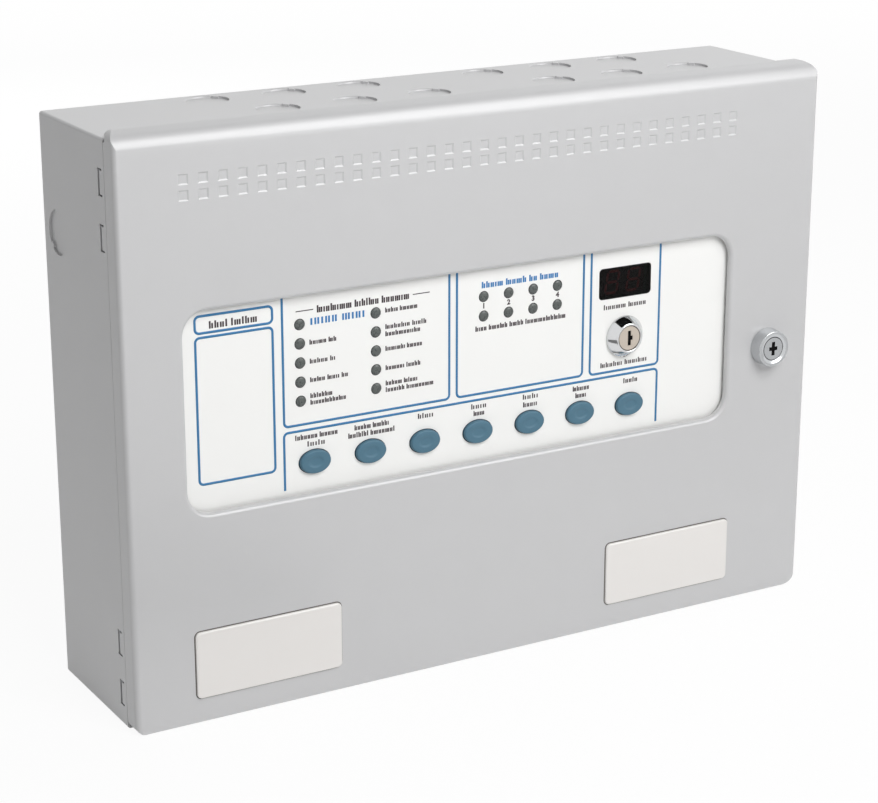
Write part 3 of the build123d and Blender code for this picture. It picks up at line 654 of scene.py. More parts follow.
class Repeater:
    """Geometry Nodes tree that sets one shape at many points, sized by the points' own attribute."""

    NAME = "set_at_points"
    SIZE = "piece_size"

    @classmethod
    def tree(cls) -> bpy.types.NodeTree:
        """Builds the tree once and gives it out again after that.

        Returns:
            The geometry node group.
        """
        made = bpy.data.node_groups.get(cls.NAME)
        if made:
            return made
        takes = {"Geometry": "Geometry", "Shape": "Object", "Scale": "Float", "Material": "Material"}
        tree = Tree.group(cls.NAME, "GeometryNodeTree", takes, {"Geometry": "Geometry"})
        given, out, shape, size, scale, place, solid, cover = Tree.nodes(
            tree, "NodeGroupInput", "NodeGroupOutput", "GeometryNodeObjectInfo", "GeometryNodeInputNamedAttribute",
            "ShaderNodeVectorMath", "GeometryNodeInstanceOnPoints", "GeometryNodeRealizeInstances",
            "GeometryNodeSetMaterial",
        )
        size.data_type, scale.operation = "FLOAT_VECTOR", "SCALE"
        Tree.fill(size, Name=cls.SIZE)
        Tree.join(
            tree,
            (given, "Shape", shape, "Object"), (size, "Attribute", scale, 0), (given, "Scale", scale, "Scale"),
            (given, "Geometry", place, "Points"), (shape, "Geometry", place, "Instance"),
            (scale, "Vector", place, "Scale"), (place, "Instances", solid, "Geometry"),
            (solid, "Geometry", cover, "Geometry"), (given, "Material", cover, "Material"),
            (cover, "Geometry", out, "Geometry"),
        )
        return tree

    @classmethod
    def spread(
        cls, shape: bmesh.types.BMesh, spots: Sequence[Vector], finish: Finish, sizes: Sequence[Vector] = ()
    ) -> bpy.types.Mesh:
        """Sets a shape at each spot.

        Args:
            shape: The shape about its own origin, freed here.
            spots: Where it goes.
            finish: What it is covered with.
            sizes: Scale at each spot, or none for full size.

        Returns:
            One plain mesh with all of them.
        """
        sample = linked("sample", Maker.mesh_of(shape))
        points = bpy.data.meshes.new("points")
        points.from_pydata([tuple(spot) for spot in spots], [], [])
        size = points.attributes.new(cls.SIZE, "FLOAT_VECTOR", "POINT")
        for item, value in zip(size.data, sizes or [Vector((1.0, 1.0, 1.0))] * len(spots)):
            item.vector = value
        values = {"Shape": sample, "Scale": 1.0, "Material": finish.material()}
        mesh = Maker.grown(points, cls.tree(), values)
        bpy.data.objects.remove(sample)
        return mesh

    @classmethod
    def piece(
        cls, name: str, shape: bmesh.types.BMesh, spots: Sequence[Vector], finish: Finish,
        sizes: Sequence[Vector] = (), replaces: Sequence[str] = (),
    ) -> None:
        """Sets a shape at each spot and links them as one piece of the case.

        Args:
            name: The piece's name.
            shape: The shape about its own origin, freed here.
            spots: Where it goes.
            finish: What it is covered with.
            sizes: Scale at each spot, or none for full size.
            replaces: CAD nodes that the piece stands for.
        """
        Maker.piece(name, cls.spread(shape, spots, finish, sizes), finish, "case", replaces)


class LineDrawer:
    """Geometry Nodes tree that draws printed lines of even width along flat paths."""

    NAME = "printed_lines"
    BEND_STEPS = 8

    @classmethod
    def tree(cls) -> bpy.types.NodeTree:
        """Builds the tree once and gives it out again after that.

        Returns:
            The geometry node group.
        """
        made = bpy.data.node_groups.get(cls.NAME)
        if made:
            return made
        takes = {"Geometry": "Geometry", "Line Width": "Float", "Ink Height": "Float", "Corner Radius": "Float"}
        tree = Tree.group(
            cls.NAME, "GeometryNodeTree", takes | {"Material": "Material"}, {"Geometry": "Geometry"}
        )
        given, out, bend, upright, section, sweep, solid, cover = Tree.nodes(
            tree, "NodeGroupInput", "NodeGroupOutput", "GeometryNodeFilletCurve", "GeometryNodeSetCurveNormal",
            "GeometryNodeCurvePrimitiveQuadrilateral", "GeometryNodeCurveToMesh", "GeometryNodeRealizeInstances",
            "GeometryNodeSetMaterial",
        )
        bend.mode, upright.mode = "POLY", "Z_UP"
        Tree.fill(bend, Count=cls.BEND_STEPS)
        Tree.fill(sweep, Fill_Caps=True)
        Tree.join(
            tree,
            (given, "Geometry", bend, "Curve"), (given, "Corner Radius", bend, "Radius"),
            (bend, "Curve", upright, "Curve"), (given, "Line Width", section, "Width"),
            (given, "Ink Height", section, "Height"), (upright, "Curve", sweep, "Curve"),
            (section, "Curve", sweep, "Profile Curve"), (sweep, "Mesh", solid, "Geometry"),
            (solid, "Geometry", cover, "Geometry"), (given, "Material", cover, "Material"),
            (cover, "Geometry", out, "Geometry"),
        )
        return tree

    @classmethod
    def draw(
        cls, paths: Sequence[tuple[Sequence[Pair], bool]], width: float, corner: float, ink: float, finish: Finish
    ) -> bpy.types.Mesh:
        """Draws lines flat, in millimetres across and up.

        Args:
            paths: Corner points of each line, and whether it closes on itself.
            width: Line width.
            corner: Radius of the bends.
            ink: Thickness of the print.
            finish: The ink.

        Returns:
            One flat mesh with all the lines.
        """
        curve = bpy.data.curves.new("paths", "CURVE")
        curve.dimensions = "3D"
        for points, closed in paths:
            spline = curve.splines.new("POLY")
            spline.points.add(len(points) - 1)
            spline.use_cyclic_u = closed
            for spot, (x, y) in zip(spline.points, points):
                spot.co = (x * MM, y * MM, ink * MM / 2, 1.0)
        values = {"Line Width": width * MM, "Ink Height": ink * MM, "Corner Radius": corner * MM}
        return Maker.grown(curve, cls.tree(), values | {"Material": finish.material()})


class TextStyle(Enum):
    """Sizes of the stand-in words: tallest bar and bar width, in millimetres."""

    TITLE = (3.5, 0.88)
    HEADING = (3.2, 1.0)
    CAPTION = (2.6, 0.70)
    SMALL = (2.4, 0.65)


@dataclass
class Line:
    """One line of stand-in words, between two places across at a height."""

    start: float
    end: float
    height: float
    words: tuple[int, ...]
    style: TextStyle = TextStyle.SMALL
    capitals: bool = False


@dataclass
class LabelPrint:
    """What is printed on the label behind the window: frames, words that can't be read, and zone numbers."""

    line_width: float = 1.2
    corner: float = 2.2
    ink: float = 0.05
    dash_width: float = 0.45
    number_size: float = 3.5
    number_weight: float = 0.16
    letter_gap: float = 0.35
    word_gap: float = 1.5
    low_rise: float = 0.72
    tall_share: float = 0.25
    widest: float = 0.84
    strokes: tuple[int, ...] = (1, 2, 2, 2, 3)
    seed: int = 7
    window_top: float = 206.0
    chart_head: tuple[Pair, Pair] = ((37.8, 188.2), (76.5, 196.2))
    chart_body: tuple[Pair, Pair] = ((37.8, 116.1), (76.5, 186.1))
    hanging: tuple[Triple, ...] = (
        (81.5, 170.4, 136.8), (174.6, 247.1, 136.8), (251.6, 292.9, 136.4),
    )
    keypad: tuple[float, float, float, float] = (81.3, 292.7, 133.8, 105.6)
    dashes: tuple[Triple, ...] = ((88.5, 97.6, 191.7), (150.4, 159.6, 191.7))
    numbers: tuple[float, ...] = (189.6, 203.7, 217.7, 231.8)
    number_height: float = 180.7
    headings: tuple[Line, ...] = (
        Line(95.8, 124.6, 186.0, (5, 4), TextStyle.HEADING, True),
        Line(188.3, 232.0, 191.2, (5, 4, 2, 4), TextStyle.HEADING),
    )
    lines: tuple[Line, ...] = (
        Line(44.7, 68.9, 191.6, (4, 5), TextStyle.TITLE),
        Line(99.4, 148.4, 191.6, (7, 6, 6), TextStyle.TITLE),
        Line(95.3, 109.4, 176.2, (5, 2)), Line(95.3, 108.7, 167.0, (5, 2)), Line(95.3, 115.3, 158.0, (4, 4, 2)),
        Line(95.3, 106.9, 150.2, (7,)), Line(95.3, 114.1, 147.0, (11,)),
        Line(135.4, 152.8, 186.1, (5, 5)), Line(135.4, 157.7, 178.0, (7, 5)), Line(135.4, 154.3, 174.5, (11,)),
        Line(135.4, 155.3, 167.3, (7, 5)), Line(135.4, 154.4, 157.8, (6, 5)), Line(135.4, 152.7, 150.2, (5, 5)),
        Line(135.4, 161.5, 146.9, (7, 8)),
        Line(184.9, 236.6, 169.7, (4, 5, 4, 11), TextStyle.CAPTION),
        Line(259.2, 284.7, 170.2, (6, 4), TextStyle.CAPTION),
        Line(257.9, 286.1, 140.3, (6, 7), TextStyle.CAPTION),
        Line(87.0, 109.4, 130.6, (7, 5), TextStyle.CAPTION), Line(93.2, 102.7, 126.8, (5,), TextStyle.CAPTION),
        Line(118.4, 137.0, 130.6, (5, 5), TextStyle.CAPTION), Line(115.0, 140.1, 127.0, (7, 7), TextStyle.CAPTION),
        Line(152.8, 161.5, 130.7, (5,), TextStyle.CAPTION), Line(182.6, 191.4, 130.7, (4,), TextStyle.CAPTION),
        Line(184.1, 190.2, 127.1, (4,), TextStyle.CAPTION), Line(212.2, 221.3, 131.0, (4,), TextStyle.CAPTION),
        Line(212.5, 220.7, 127.0, (5,), TextStyle.CAPTION), Line(241.7, 251.4, 130.6, (6,), TextStyle.CAPTION),
        Line(243.3, 249.7, 126.9, (4,), TextStyle.CAPTION), Line(272.1, 280.7, 130.3, (5,), TextStyle.CAPTION),
    )

    def build(self) -> None:
        """Prints the label, inks in order."""
        front = PANEL.depth_of("display_label")
        self.place("label_frames", self.frames(), FRAME_INK, front)
        self.place("label_dashes", self.side_dashes(), TEXT_INK, front)
        draw = random.Random(self.seed)
        self.place("label_words", self.letters(self.lines, TEXT_INK, draw), TEXT_INK, front)
        self.place("label_headings", self.letters(self.headings, HEADING_INK, draw), HEADING_INK, front)
        self.place("zone_numbers", self.zone_numbers(), TEXT_INK, front)

    def place(self, name: str, mesh: bpy.types.Mesh, finish: Finish, depth: float) -> None:
        """Stands a flat print up on the label and links it."""
        mesh.transform(PANEL.standing(depth))
        Maker.piece(name, mesh, finish, "case")

    def frames(self) -> bpy.types.Mesh:
        """Draws the frames round the groups.

        Returns:
            The flat frames.
        """
        paths: list[tuple[list[Pair], bool]] = []
        for low, high in (self.chart_head, self.chart_body):
            paths.append(([low, (high[0], low[1]), high, (low[0], high[1])], True))
        top = self.window_top
        for left, right, bottom in self.hanging:
            paths.append(([(left, top), (left, bottom), (right, bottom), (right, top)], False))
        left, right, top, bottom = self.keypad
        paths.append(([(left, bottom), (left, top), (right, top), (right, bottom)], False))
        return LineDrawer.draw(paths, self.line_width, self.corner, self.ink, FRAME_INK)

    def side_dashes(self) -> bpy.types.Mesh:
        """Draws the short lines beside the title."""
        paths = [([(left, height), (right, height)], False) for left, right, height in self.dashes]
        return LineDrawer.draw(paths, self.dash_width, 0.0, self.ink, TEXT_INK)

    def letters(self, lines: Iterable[Line], finish: Finish, draw: random.Random) -> bpy.types.Mesh:
        """Sets plain bars in the rhythm of words, with no letter among them.

        Args:
            lines: The lines to fill.
            finish: The ink.
            draw: Source of the bars' rhythm.

        Returns:
            The flat bars.
        """
        spots: list[Vector] = []
        sizes: list[Vector] = []
        for line in lines:
            tall, stroke = line.style.value
            bars = [[draw.choice(self.strokes) for _ in range(count)] for count in line.words]
            steps = sum(sum(word) for word in bars) + self.letter_gap * sum(len(word) - 1 for word in bars)
            steps += self.word_gap * (len(bars) - 1)
            pitch = (line.end - line.start) / steps
            x = line.start
            for word in bars:
                for letter, count in enumerate(word):
                    for i in range(count):
                        full = line.capitals or (i == 0 and (letter == 0 or draw.random() < self.tall_share))
                        rise = tall if full else tall * self.low_rise
                        lift = (rise - tall) / 2
                        spots.append(Vector((x + pitch / 2, line.height + lift, self.ink / 2)) * MM)
                        sizes.append(Vector((min(stroke, pitch * self.widest), rise, self.ink)) * MM)
                        x += pitch
                    x += self.letter_gap * pitch
                x += (self.word_gap - self.letter_gap) * pitch
        bar = bmesh.new()
        bmesh.ops.create_cube(bar, size=1.0)
        return Repeater.spread(bar, spots, finish, sizes)

    def zone_numbers(self) -> bpy.types.Mesh:
        """Sets the zone numbers between the lamp rows.

        Returns:
            The flat numerals.
        """
        together = bmesh.new()
        for number, across in enumerate(self.numbers, start=1):
            text = bpy.data.curves.new("numeral", "FONT")
            text.body = str(number)
            text.size = self.number_size * MM
            text.extrude = self.ink * MM / 2
            text.offset = self.number_weight * MM
            text.align_x = text.align_y = "CENTER"
            mesh = Maker.baked(linked("numeral", text))
            mesh.transform(Matrix.Translation(Vector((across, self.number_height, self.ink / 2)) * MM))
            together.from_mesh(mesh)
            bpy.data.meshes.remove(mesh)
        return Maker.mesh_of(together)


@dataclass
class Case:
    """Folded case: back box, lid, hinge brackets, shoulders of the knock-outs, and bare plates with a dark ring round
    each that paints their contact shadow on the lid.
    """

    lid_crease: float = 24.0
    plate_corner: float = 2.5
    plate_edge: float = 0.62
    plate_spread: float = 2.2
    plate_steps: int = 8
    plate_rise: float = 0.35
    # Width, rounding and depths of the ring that paints each plate's contact shadow.
    tape_edge: float = 0.5
    tape_steps: int = 2
    tape_depth: Pair = (-0.06, 0.2)
    knockout_first: float = 0.2063
    knockout_group: float = 0.3969
    knockout_pitch: float = 0.1059
    knockout_stagger: float = 0.0514
    knockout_groups: int = 2
    knockout_count: int = 3
    knockout_depths: Pair = (75.0, 39.6)
    shoulder: tuple[Pair, ...] = (
        (10.82, -0.015), (10.55, 0.02), (10.30, 0.12), (10.08, 0.30), (9.92, 0.58), (9.84, 1.0), (10.82, 1.0),
    )
    shoulder_turn: Pair = (52.0, 200.0)
    shoulder_steps: int = 36

    def build(self) -> None:
        """Dresses the case's sheets and builds its plates."""
        Maker.eased("box_shell", "back_box", PAINT, "case")
        Maker.eased("lid_shell", "lid", PAINT, "lid", self.lid_crease)
        for end in ("lower", "upper"):
            Maker.eased(f"{end}_hinge_angle", f"hinge_bracket_{end}", ZINC, "lid")
        self.shoulders()
        for side in ("left", "right"):
            self.plate(f"name_plate_{side}")

    def shoulders(self) -> None:
        """Rounds the sheared shoulder of each knock-out in the top wall, up to its tab."""
        low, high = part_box("back_box")
        width = (high.x - low.x) / MM
        spots = []
        for row, depth in enumerate(self.knockout_depths):
            for group in range(self.knockout_groups):
                for i in range(self.knockout_count):
                    share = self.knockout_first + group * self.knockout_group + i * self.knockout_pitch
                    share += row * self.knockout_stagger
                    spots.append(PANEL.point(share * width, depth, high.z / MM))
        first, last = (math.radians(turn) for turn in self.shoulder_turn)
        loops = []
        for i in range(self.shoulder_steps + 1):
            turn = first + (last - first) * i / self.shoulder_steps
            loops.append([Vector((r * math.cos(turn), r * math.sin(turn), -drop)) * MM for r, drop in self.shoulder])
        Repeater.piece("knockout_shoulders", Shapes.capped(loops), spots, PAINT)

    def plate(self, node: str) -> None:
        """Builds a bare plate with a rounded rim in place of its CAD node, and a dark ring round it that paints its
        contact shadow on the lid.

        Args:
            node: The plate's CAD node.
        """
        low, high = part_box(node)
        box = (low - Vector((0.0, self.plate_rise, 0.0)) * MM, high)
        shape = Shapes.soft_plate(box, self.plate_corner, self.plate_edge, self.plate_steps, self.plate_spread)
        Maker.piece(f"bare_{node}", Maker.mesh_of(shape), PLATE, "lid", (node,))
        # A thin mid-dark ring round the plate paints its contact shadow on the lid.
        front, back = (PANEL.face + depth * MM for depth in self.tape_depth)
        out = self.tape_edge * MM
        box = (Vector((low.x - out, front, low.z - out)), Vector((high.x + out, back, high.z + out)))
        shape = Shapes.soft_plate(
            box, self.plate_corner + self.tape_edge, -self.tape_depth[0] / 2, self.tape_steps
        )
        Maker.piece(f"tape_{node}", Maker.mesh_of(shape), CONTACT_SHADOW, "lid")


@dataclass
class TurnedLock:
    """What both locks share: a turned body, a near-black ring that paints the shade in the groove round its plug, and
    a near-black prism that paints the shade in the hole for the key.
    """

    plug: float
    bore: float
    ease: float
    groove: float
    hole: Pair
    notch: Pair
    notch_offset: float
    hole_depth: Pair
    slack: float = 0.03
    segments: int = 96

    def head(
        self, names: tuple[str, str], node: str, outline: Sequence[Pair], finish: Finish, body: str
    ) -> None:
        """Turns the body in place of its CAD node, and the near-black ring that paints the shade in the groove round
        the plug.

        Args:
            names: Names of the body and of the painted shade in its groove.
            node: The CAD node.
            outline: Corners of the body's profile.
            finish: What the body is covered with.
            body: The CAD body that it moves with.
        """
        centre = PANEL.middle_of(node)
        front, back = PANEL.depths_of(node)
        shape = Shapes.turned(Shapes.rounded(outline, self.ease), centre, self.segments, closed=True)
        Maker.piece(names[0], Maker.mesh_of(shape), finish, body, (node,))
        # Painted shade: a near-black ring fills the groove between plug and bore.
        gap = Shapes.ring(self.plug + self.slack, self.bore - self.slack, front + self.groove, back)
        Maker.piece(names[1], Maker.mesh_of(Shapes.turned(gap, centre, closed=True)), SHADE, body)

    def keyhole(self, name: str, node: str, plug: str, body: str) -> None:
        """Paints the shade in the hole for the key with a near-black prism.

        Args:
            name: The piece's name.
            node: CAD node of the lock's body, which gives the middle.
            plug: CAD node of the plug, which gives the depth.
            body: The CAD body that it moves with.
        """
        # Painted shade: a near-black prism fills the keyhole.
        first, last = (PANEL.depth_of(plug) + depth for depth in self.hole_depth)
        shade = Shapes.cross(PANEL.middle_of(node), self.hole, self.notch, self.notch_offset, first, last)
        Maker.piece(name, Maker.mesh_of(shade), SHADE, body)


@dataclass
class CamLock(TurnedLock):
    """Lock of the lid: dished head, plug with its keyway, and what is behind the lid."""

    plug: float = 5.9
    bore: float = 6.2
    ease: float = 0.4
    groove: float = 0.9
    hole: Pair = (1.9, 7.1)
    notch: Pair = (5.1, 1.9)
    notch_offset: float = 0.0
    hole_depth: Pair = (0.3, 2.9)
    ring: float = 9.3
    flange: float = 9.9
    barrel: float = 7.9
    rim: float = 0.6
    dish: float = 0.6
    dish_radius: float = 8.0

    def build(self) -> None:
        """Turns the head and dresses the rest."""
        front, back = PANEL.depths_of("lock_body")
        outline = [
            (self.bore, back), (self.bore, front + self.dish), (self.dish_radius, front), (self.ring, front),
            (self.flange, -self.rim), (self.flange, 0.0), (self.barrel, 0.0), (self.barrel, back),
        ]
        self.head(("lock_head", "lock_groove"), "lock_body", outline, SATIN, "lid")
        Maker.eased("lock_ring_nut", "lock_nut", ZINC, "lid")
        Maker.eased("lock_turning_plug", "lock_plug", SATIN, "lid_lock")
        self.keyhole("lock_keyway", "lock_body", "lock_plug", "lid_lock")
        Maker.eased("lock_cam_plate", "lock_cam", ZINC, "lid_lock")
        Maker.eased("lock_cam_bolt", "lock_cam_screw", ZINC, "lid_lock")


@dataclass
class KeySwitch(TurnedLock):
    """Key switch below the display: coned chromed bezel, plug with its keyhole, nut and contacts."""

    plug: float = 6.1
    bore: float = 6.4
    ease: float = 0.5
    groove: float = 0.7
    hole: Pair = (1.7, 7.5)
    notch: Pair = (2.1, 2.1)
    notch_offset: float = 0.9
    hole_depth: Pair = (0.2, 2.9)
    lip: Pair = (0.3, 0.4)
    front_radius: float = 7.4
    rim_radius: float = 10.8
    rim: float = 1.2
    barrel: float = 7.6

    def build(self) -> None:
        """Turns the bezel and dresses the rest."""
        front, back = PANEL.depths_of("key_switch_body")
        label = PANEL.depth_of("display_label")
        wide, deep = self.lip
        outline = [
            (self.bore, back), (self.bore, front + deep), (self.bore + wide, front), (self.front_radius, front),
            (self.rim_radius, label - self.rim), (self.rim_radius, label), (self.barrel, label), (self.barrel, back),
        ]
        self.head(("key_bezel", "key_groove"), "key_switch_body", outline, CHROME, "case")
        Maker.eased("key_plug", "key_switch_plug", NICKEL, "key_switch")
        self.keyhole("key_keyhole", "key_switch_body", "key_switch_plug", "key_switch")
        Maker.eased("key_nut", "key_switch_nut", ZINC, "case")
        Maker.eased("key_contacts", "key_switch_contacts", BLACK, "case")


@dataclass
class Lamps:
    """Unlit lamps of the label: clear-edged lenses in two groups."""

    radius: float = 2.5
    rim: float = 2.9
    rim_thickness: float = 1.0
    dome: float = 0.55
    dome_steps: int = 6
    segments: int = 28
    # Where the rings of painted shade round the lenses sit.
    ring_gap: Pair = (0.03, 0.27)
    ring_depth: Pair = (0.15, 0.6)
    status_columns: int = 2
    status_rows: int = 5
    zone_columns: int = 4
    zone_rows: int = 2

    def build(self) -> None:
        """Builds both groups in place of their CAD nodes, with dark rings that paint the shade in the gaps round the
        lenses.
        """
        self.group("status_lenses", "status_lamps", self.status_columns, self.status_rows)
        self.group("zone_lenses", "zone_lamps", self.zone_columns, self.zone_rows)

    def group(self, name: str, node: str, columns: int, rows: int) -> None:
        """Sets one lens shape on the grid that a node's box gives.

        Args:
            name: The piece's name.
            node: The CAD node with the lamps.
            columns: Lamps across.
            rows: Lamps up.
        """
        low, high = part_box(node)
        margin = self.rim * MM
        step_x = (high.x - low.x - 2 * margin) / (columns - 1)
        step_z = (high.z - low.z - 2 * margin) / (rows - 1)
        spots = [
            Vector((low.x + margin + i * step_x, low.y, low.z + margin + j * step_z))
            for i in range(columns)
            for j in range(rows)
        ]
        length = (high.y - low.y) / MM
        Repeater.piece(name, self.lens(length), spots, LENS, replaces=(node,))
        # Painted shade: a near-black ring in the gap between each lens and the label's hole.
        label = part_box("display_label")[0].y - low.y
        inner, outer = (self.radius + gap for gap in self.ring_gap)
        first, last = (label / MM + depth for depth in self.ring_depth)
        ring = Shapes.turned_about_origin(Shapes.ring(inner, outer, first, last), self.segments, closed=True)
        Repeater.piece(f"{name}_rings", ring, spots, SHADE)

    def lens(self, length: float) -> bmesh.types.BMesh:
        """Turns one lens about its own origin, which is the middle of its front.

        Args:
            length: From the front to the board, in millimetres.

        Returns:
            The lens.
        """
        turns = [math.pi / 2 * i / self.dome_steps for i in range(self.dome_steps + 1)]
        crown = [(self.radius * math.sin(turn), self.dome * (1 - math.cos(turn))) for turn in turns]
        seat = length - self.rim_thickness
        profile = crown + [(self.radius, seat), (self.rim, seat), (self.rim, length), (0.0, length)]
        return Shapes.turned_about_origin(profile, self.segments)


@dataclass
class Buttons:
    """Oval push buttons with a softened edge and a shallow dish."""

    count: int = 7
    half_width: float = 8.0
    half_height: float = 5.75
    flange: float = 1.2
    flange_thickness: float = 0.9
    edge: float = 0.75
    edge_steps: int = 5
    dish_width: float = 4.6
    dish_height: float = 3.1
    dish_depth: float = 0.35
    dish_fall: float = 0.45
    dish_steps: int = 6
    crease: float = 40.0
    # Extents of the dark ring that paints the shade in the gap round each button.
    outline: Pair = (1.005, 1.06)
    outline_depth: Pair = (-0.04, 0.2)
    outline_segments: int = 72

    def build(self) -> None:
        """Builds each button on its own body, and a dark ring round each that paints the shade in the gap."""
        nodes = [f"button_{number}" for number in range(1, self.count + 1)]
        for node in nodes:
            self.cap(node)
        label = PANEL.depth_of("display_label")
        spots = [PANEL.point(across, label, height) for across, height in map(PANEL.middle_of, nodes)]
        # Painted shade: a dark ring in the gap round each button.
        outline = Shapes.ring(*self.outline, *self.outline_depth)
        ring = Shapes.turned_about_origin(outline, self.outline_segments, closed=True)
        sizes = [Vector((self.half_width, 1.0, self.half_height))] * len(spots)
        Repeater.piece("button_gaps", ring, spots, GAP_SHADE, sizes)

    def cap(self, node: str) -> None:
        """Builds one cap in place of its CAD node.

        Args:
            node: The button's CAD node, which is also its body.
        """
        centre = PANEL.middle_of(node)
        front, back = PANEL.depths_of(node)
        seat = back - self.flange_thickness
        wide, tall = self.half_width, self.half_height
        loops = [
            Shapes.oval(centre, wide + self.flange, tall + self.flange, back),
            Shapes.oval(centre, wide + self.flange, tall + self.flange, seat),
            Shapes.oval(centre, wide, tall, seat),
        ]
        for i in range(self.edge_steps + 1):
            turn = math.pi / 2 * i / self.edge_steps
            inset = self.edge * (1 - math.cos(turn))
            loops.append(Shapes.oval(centre, wide - inset, tall - inset, front + self.edge * (1 - math.sin(turn))))
        for i in range(self.dish_steps + 1):
            share = i / self.dish_steps
            fall = self.dish_depth * (1 - math.cos(math.pi * share)) / 2
            shrink = 1 - self.dish_fall * share
            loops.append(Shapes.oval(centre, self.dish_width * shrink, self.dish_height * shrink, front + fall))
        Maker.piece(f"{node}_cap", Maker.mesh_of(Shapes.capped(loops), self.crease), TEAL, node, (node,))


@dataclass
class Display:
    """Two-digit display behind a smoked filter."""

    digit_width: float = 8.1
    digit_height: float = 12.2
    digit_gap: float = 12.65
    bar: float = 1.3
    level_gap: float = 0.75
    upright_gap: float = 0.55
    lean: float = 0.16
    relief: float = 0.12
    filter_corner: float = 2.0
    filter_edge: float = 0.3

    def build(self) -> None:
        """Builds the filter and the unlit digits."""
        self.filter()
        Maker.eased("digit_block", "digit_module", DIGIT, "case")
        mesh = self.digits(PANEL.middle_of("digit_module"))
        mesh.transform(PANEL.standing(PANEL.depth_of("digit_module")))
        Maker.piece("unlit_digits", mesh, SEGMENT, "case")

    def filter(self) -> None:
        """Builds the smoked filter with softened edges."""
        shape = Shapes.soft_plate(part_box("display_filter"), self.filter_corner, self.filter_edge)
        Maker.piece("smoked_window", Maker.mesh_of(shape), SMOKE, "case", ("display_filter",))

    def digits(self, centre: Pair) -> bpy.types.Mesh:
        """Draws two figures of seven bars each, leaning to the right.

        Args:
            centre: Middle of the display, in millimetres.

        Returns:
            The flat figures.
        """
        shape = bmesh.new()
        half_w, half_h, bar = self.digit_width / 2, self.digit_height / 2, self.bar
        for side in (-1, 1):
            middle = (centre[0] + side * self.digit_gap / 2, centre[1])
            for level in (-1, 0, 1):
                offset = (0.0, level * (half_h - bar / 2))
                self.segment(shape, middle, offset, half_w - bar * self.level_gap, True)
            for column in (-1, 1):
                for level in (-1, 1):
                    offset = (column * (half_w - bar / 2), level * (half_h - bar / 2) / 2)
                    self.segment(shape, middle, offset, half_h / 2 - bar * self.upright_gap, False)
        bmesh.ops.recalc_face_normals(shape, faces=shape.faces)
        return Maker.mesh_of(shape)

    def segment(self, shape: bmesh.types.BMesh, middle: Pair, offset: Pair, reach: float, level: bool) -> None:
        """Adds one bar with pointed ends.

        Args:
            shape: The figure that takes it.
            middle: Middle of the figure.
            offset: Middle of the bar from there.
            reach: Half the bar's length.
            level: Whether it lies level.
        """
        thick = self.bar / 2
        outline = [
            (-reach, 0.0), (thick - reach, -thick), (reach - thick, -thick),
            (reach, 0.0), (reach - thick, thick), (thick - reach, thick),
        ]
        corners = [(a, b) if level else (b, a) for a, b in outline]
        spots = [(offset[0] + a, offset[1] + b) for a, b in corners]
        low = [shape.verts.new(self.leaned(middle, a, b, 0.0)) for a, b in spots]
        high = [shape.verts.new(self.leaned(middle, a, b, self.relief)) for a, b in spots]
        shape.faces.new(low)
        shape.faces.new(list(reversed(high)))
        for i in range(len(low)):
            j = (i + 1) % len(low)
            shape.faces.new((low[i], low[j], high[j], high[i]))

    def leaned(self, middle: Pair, across: float, up: float, height: float) -> Vector:
        """Places a point of a figure, leaned with its height."""
        return Vector((middle[0] + across + self.lean * up, middle[1] + up, height)) * MM


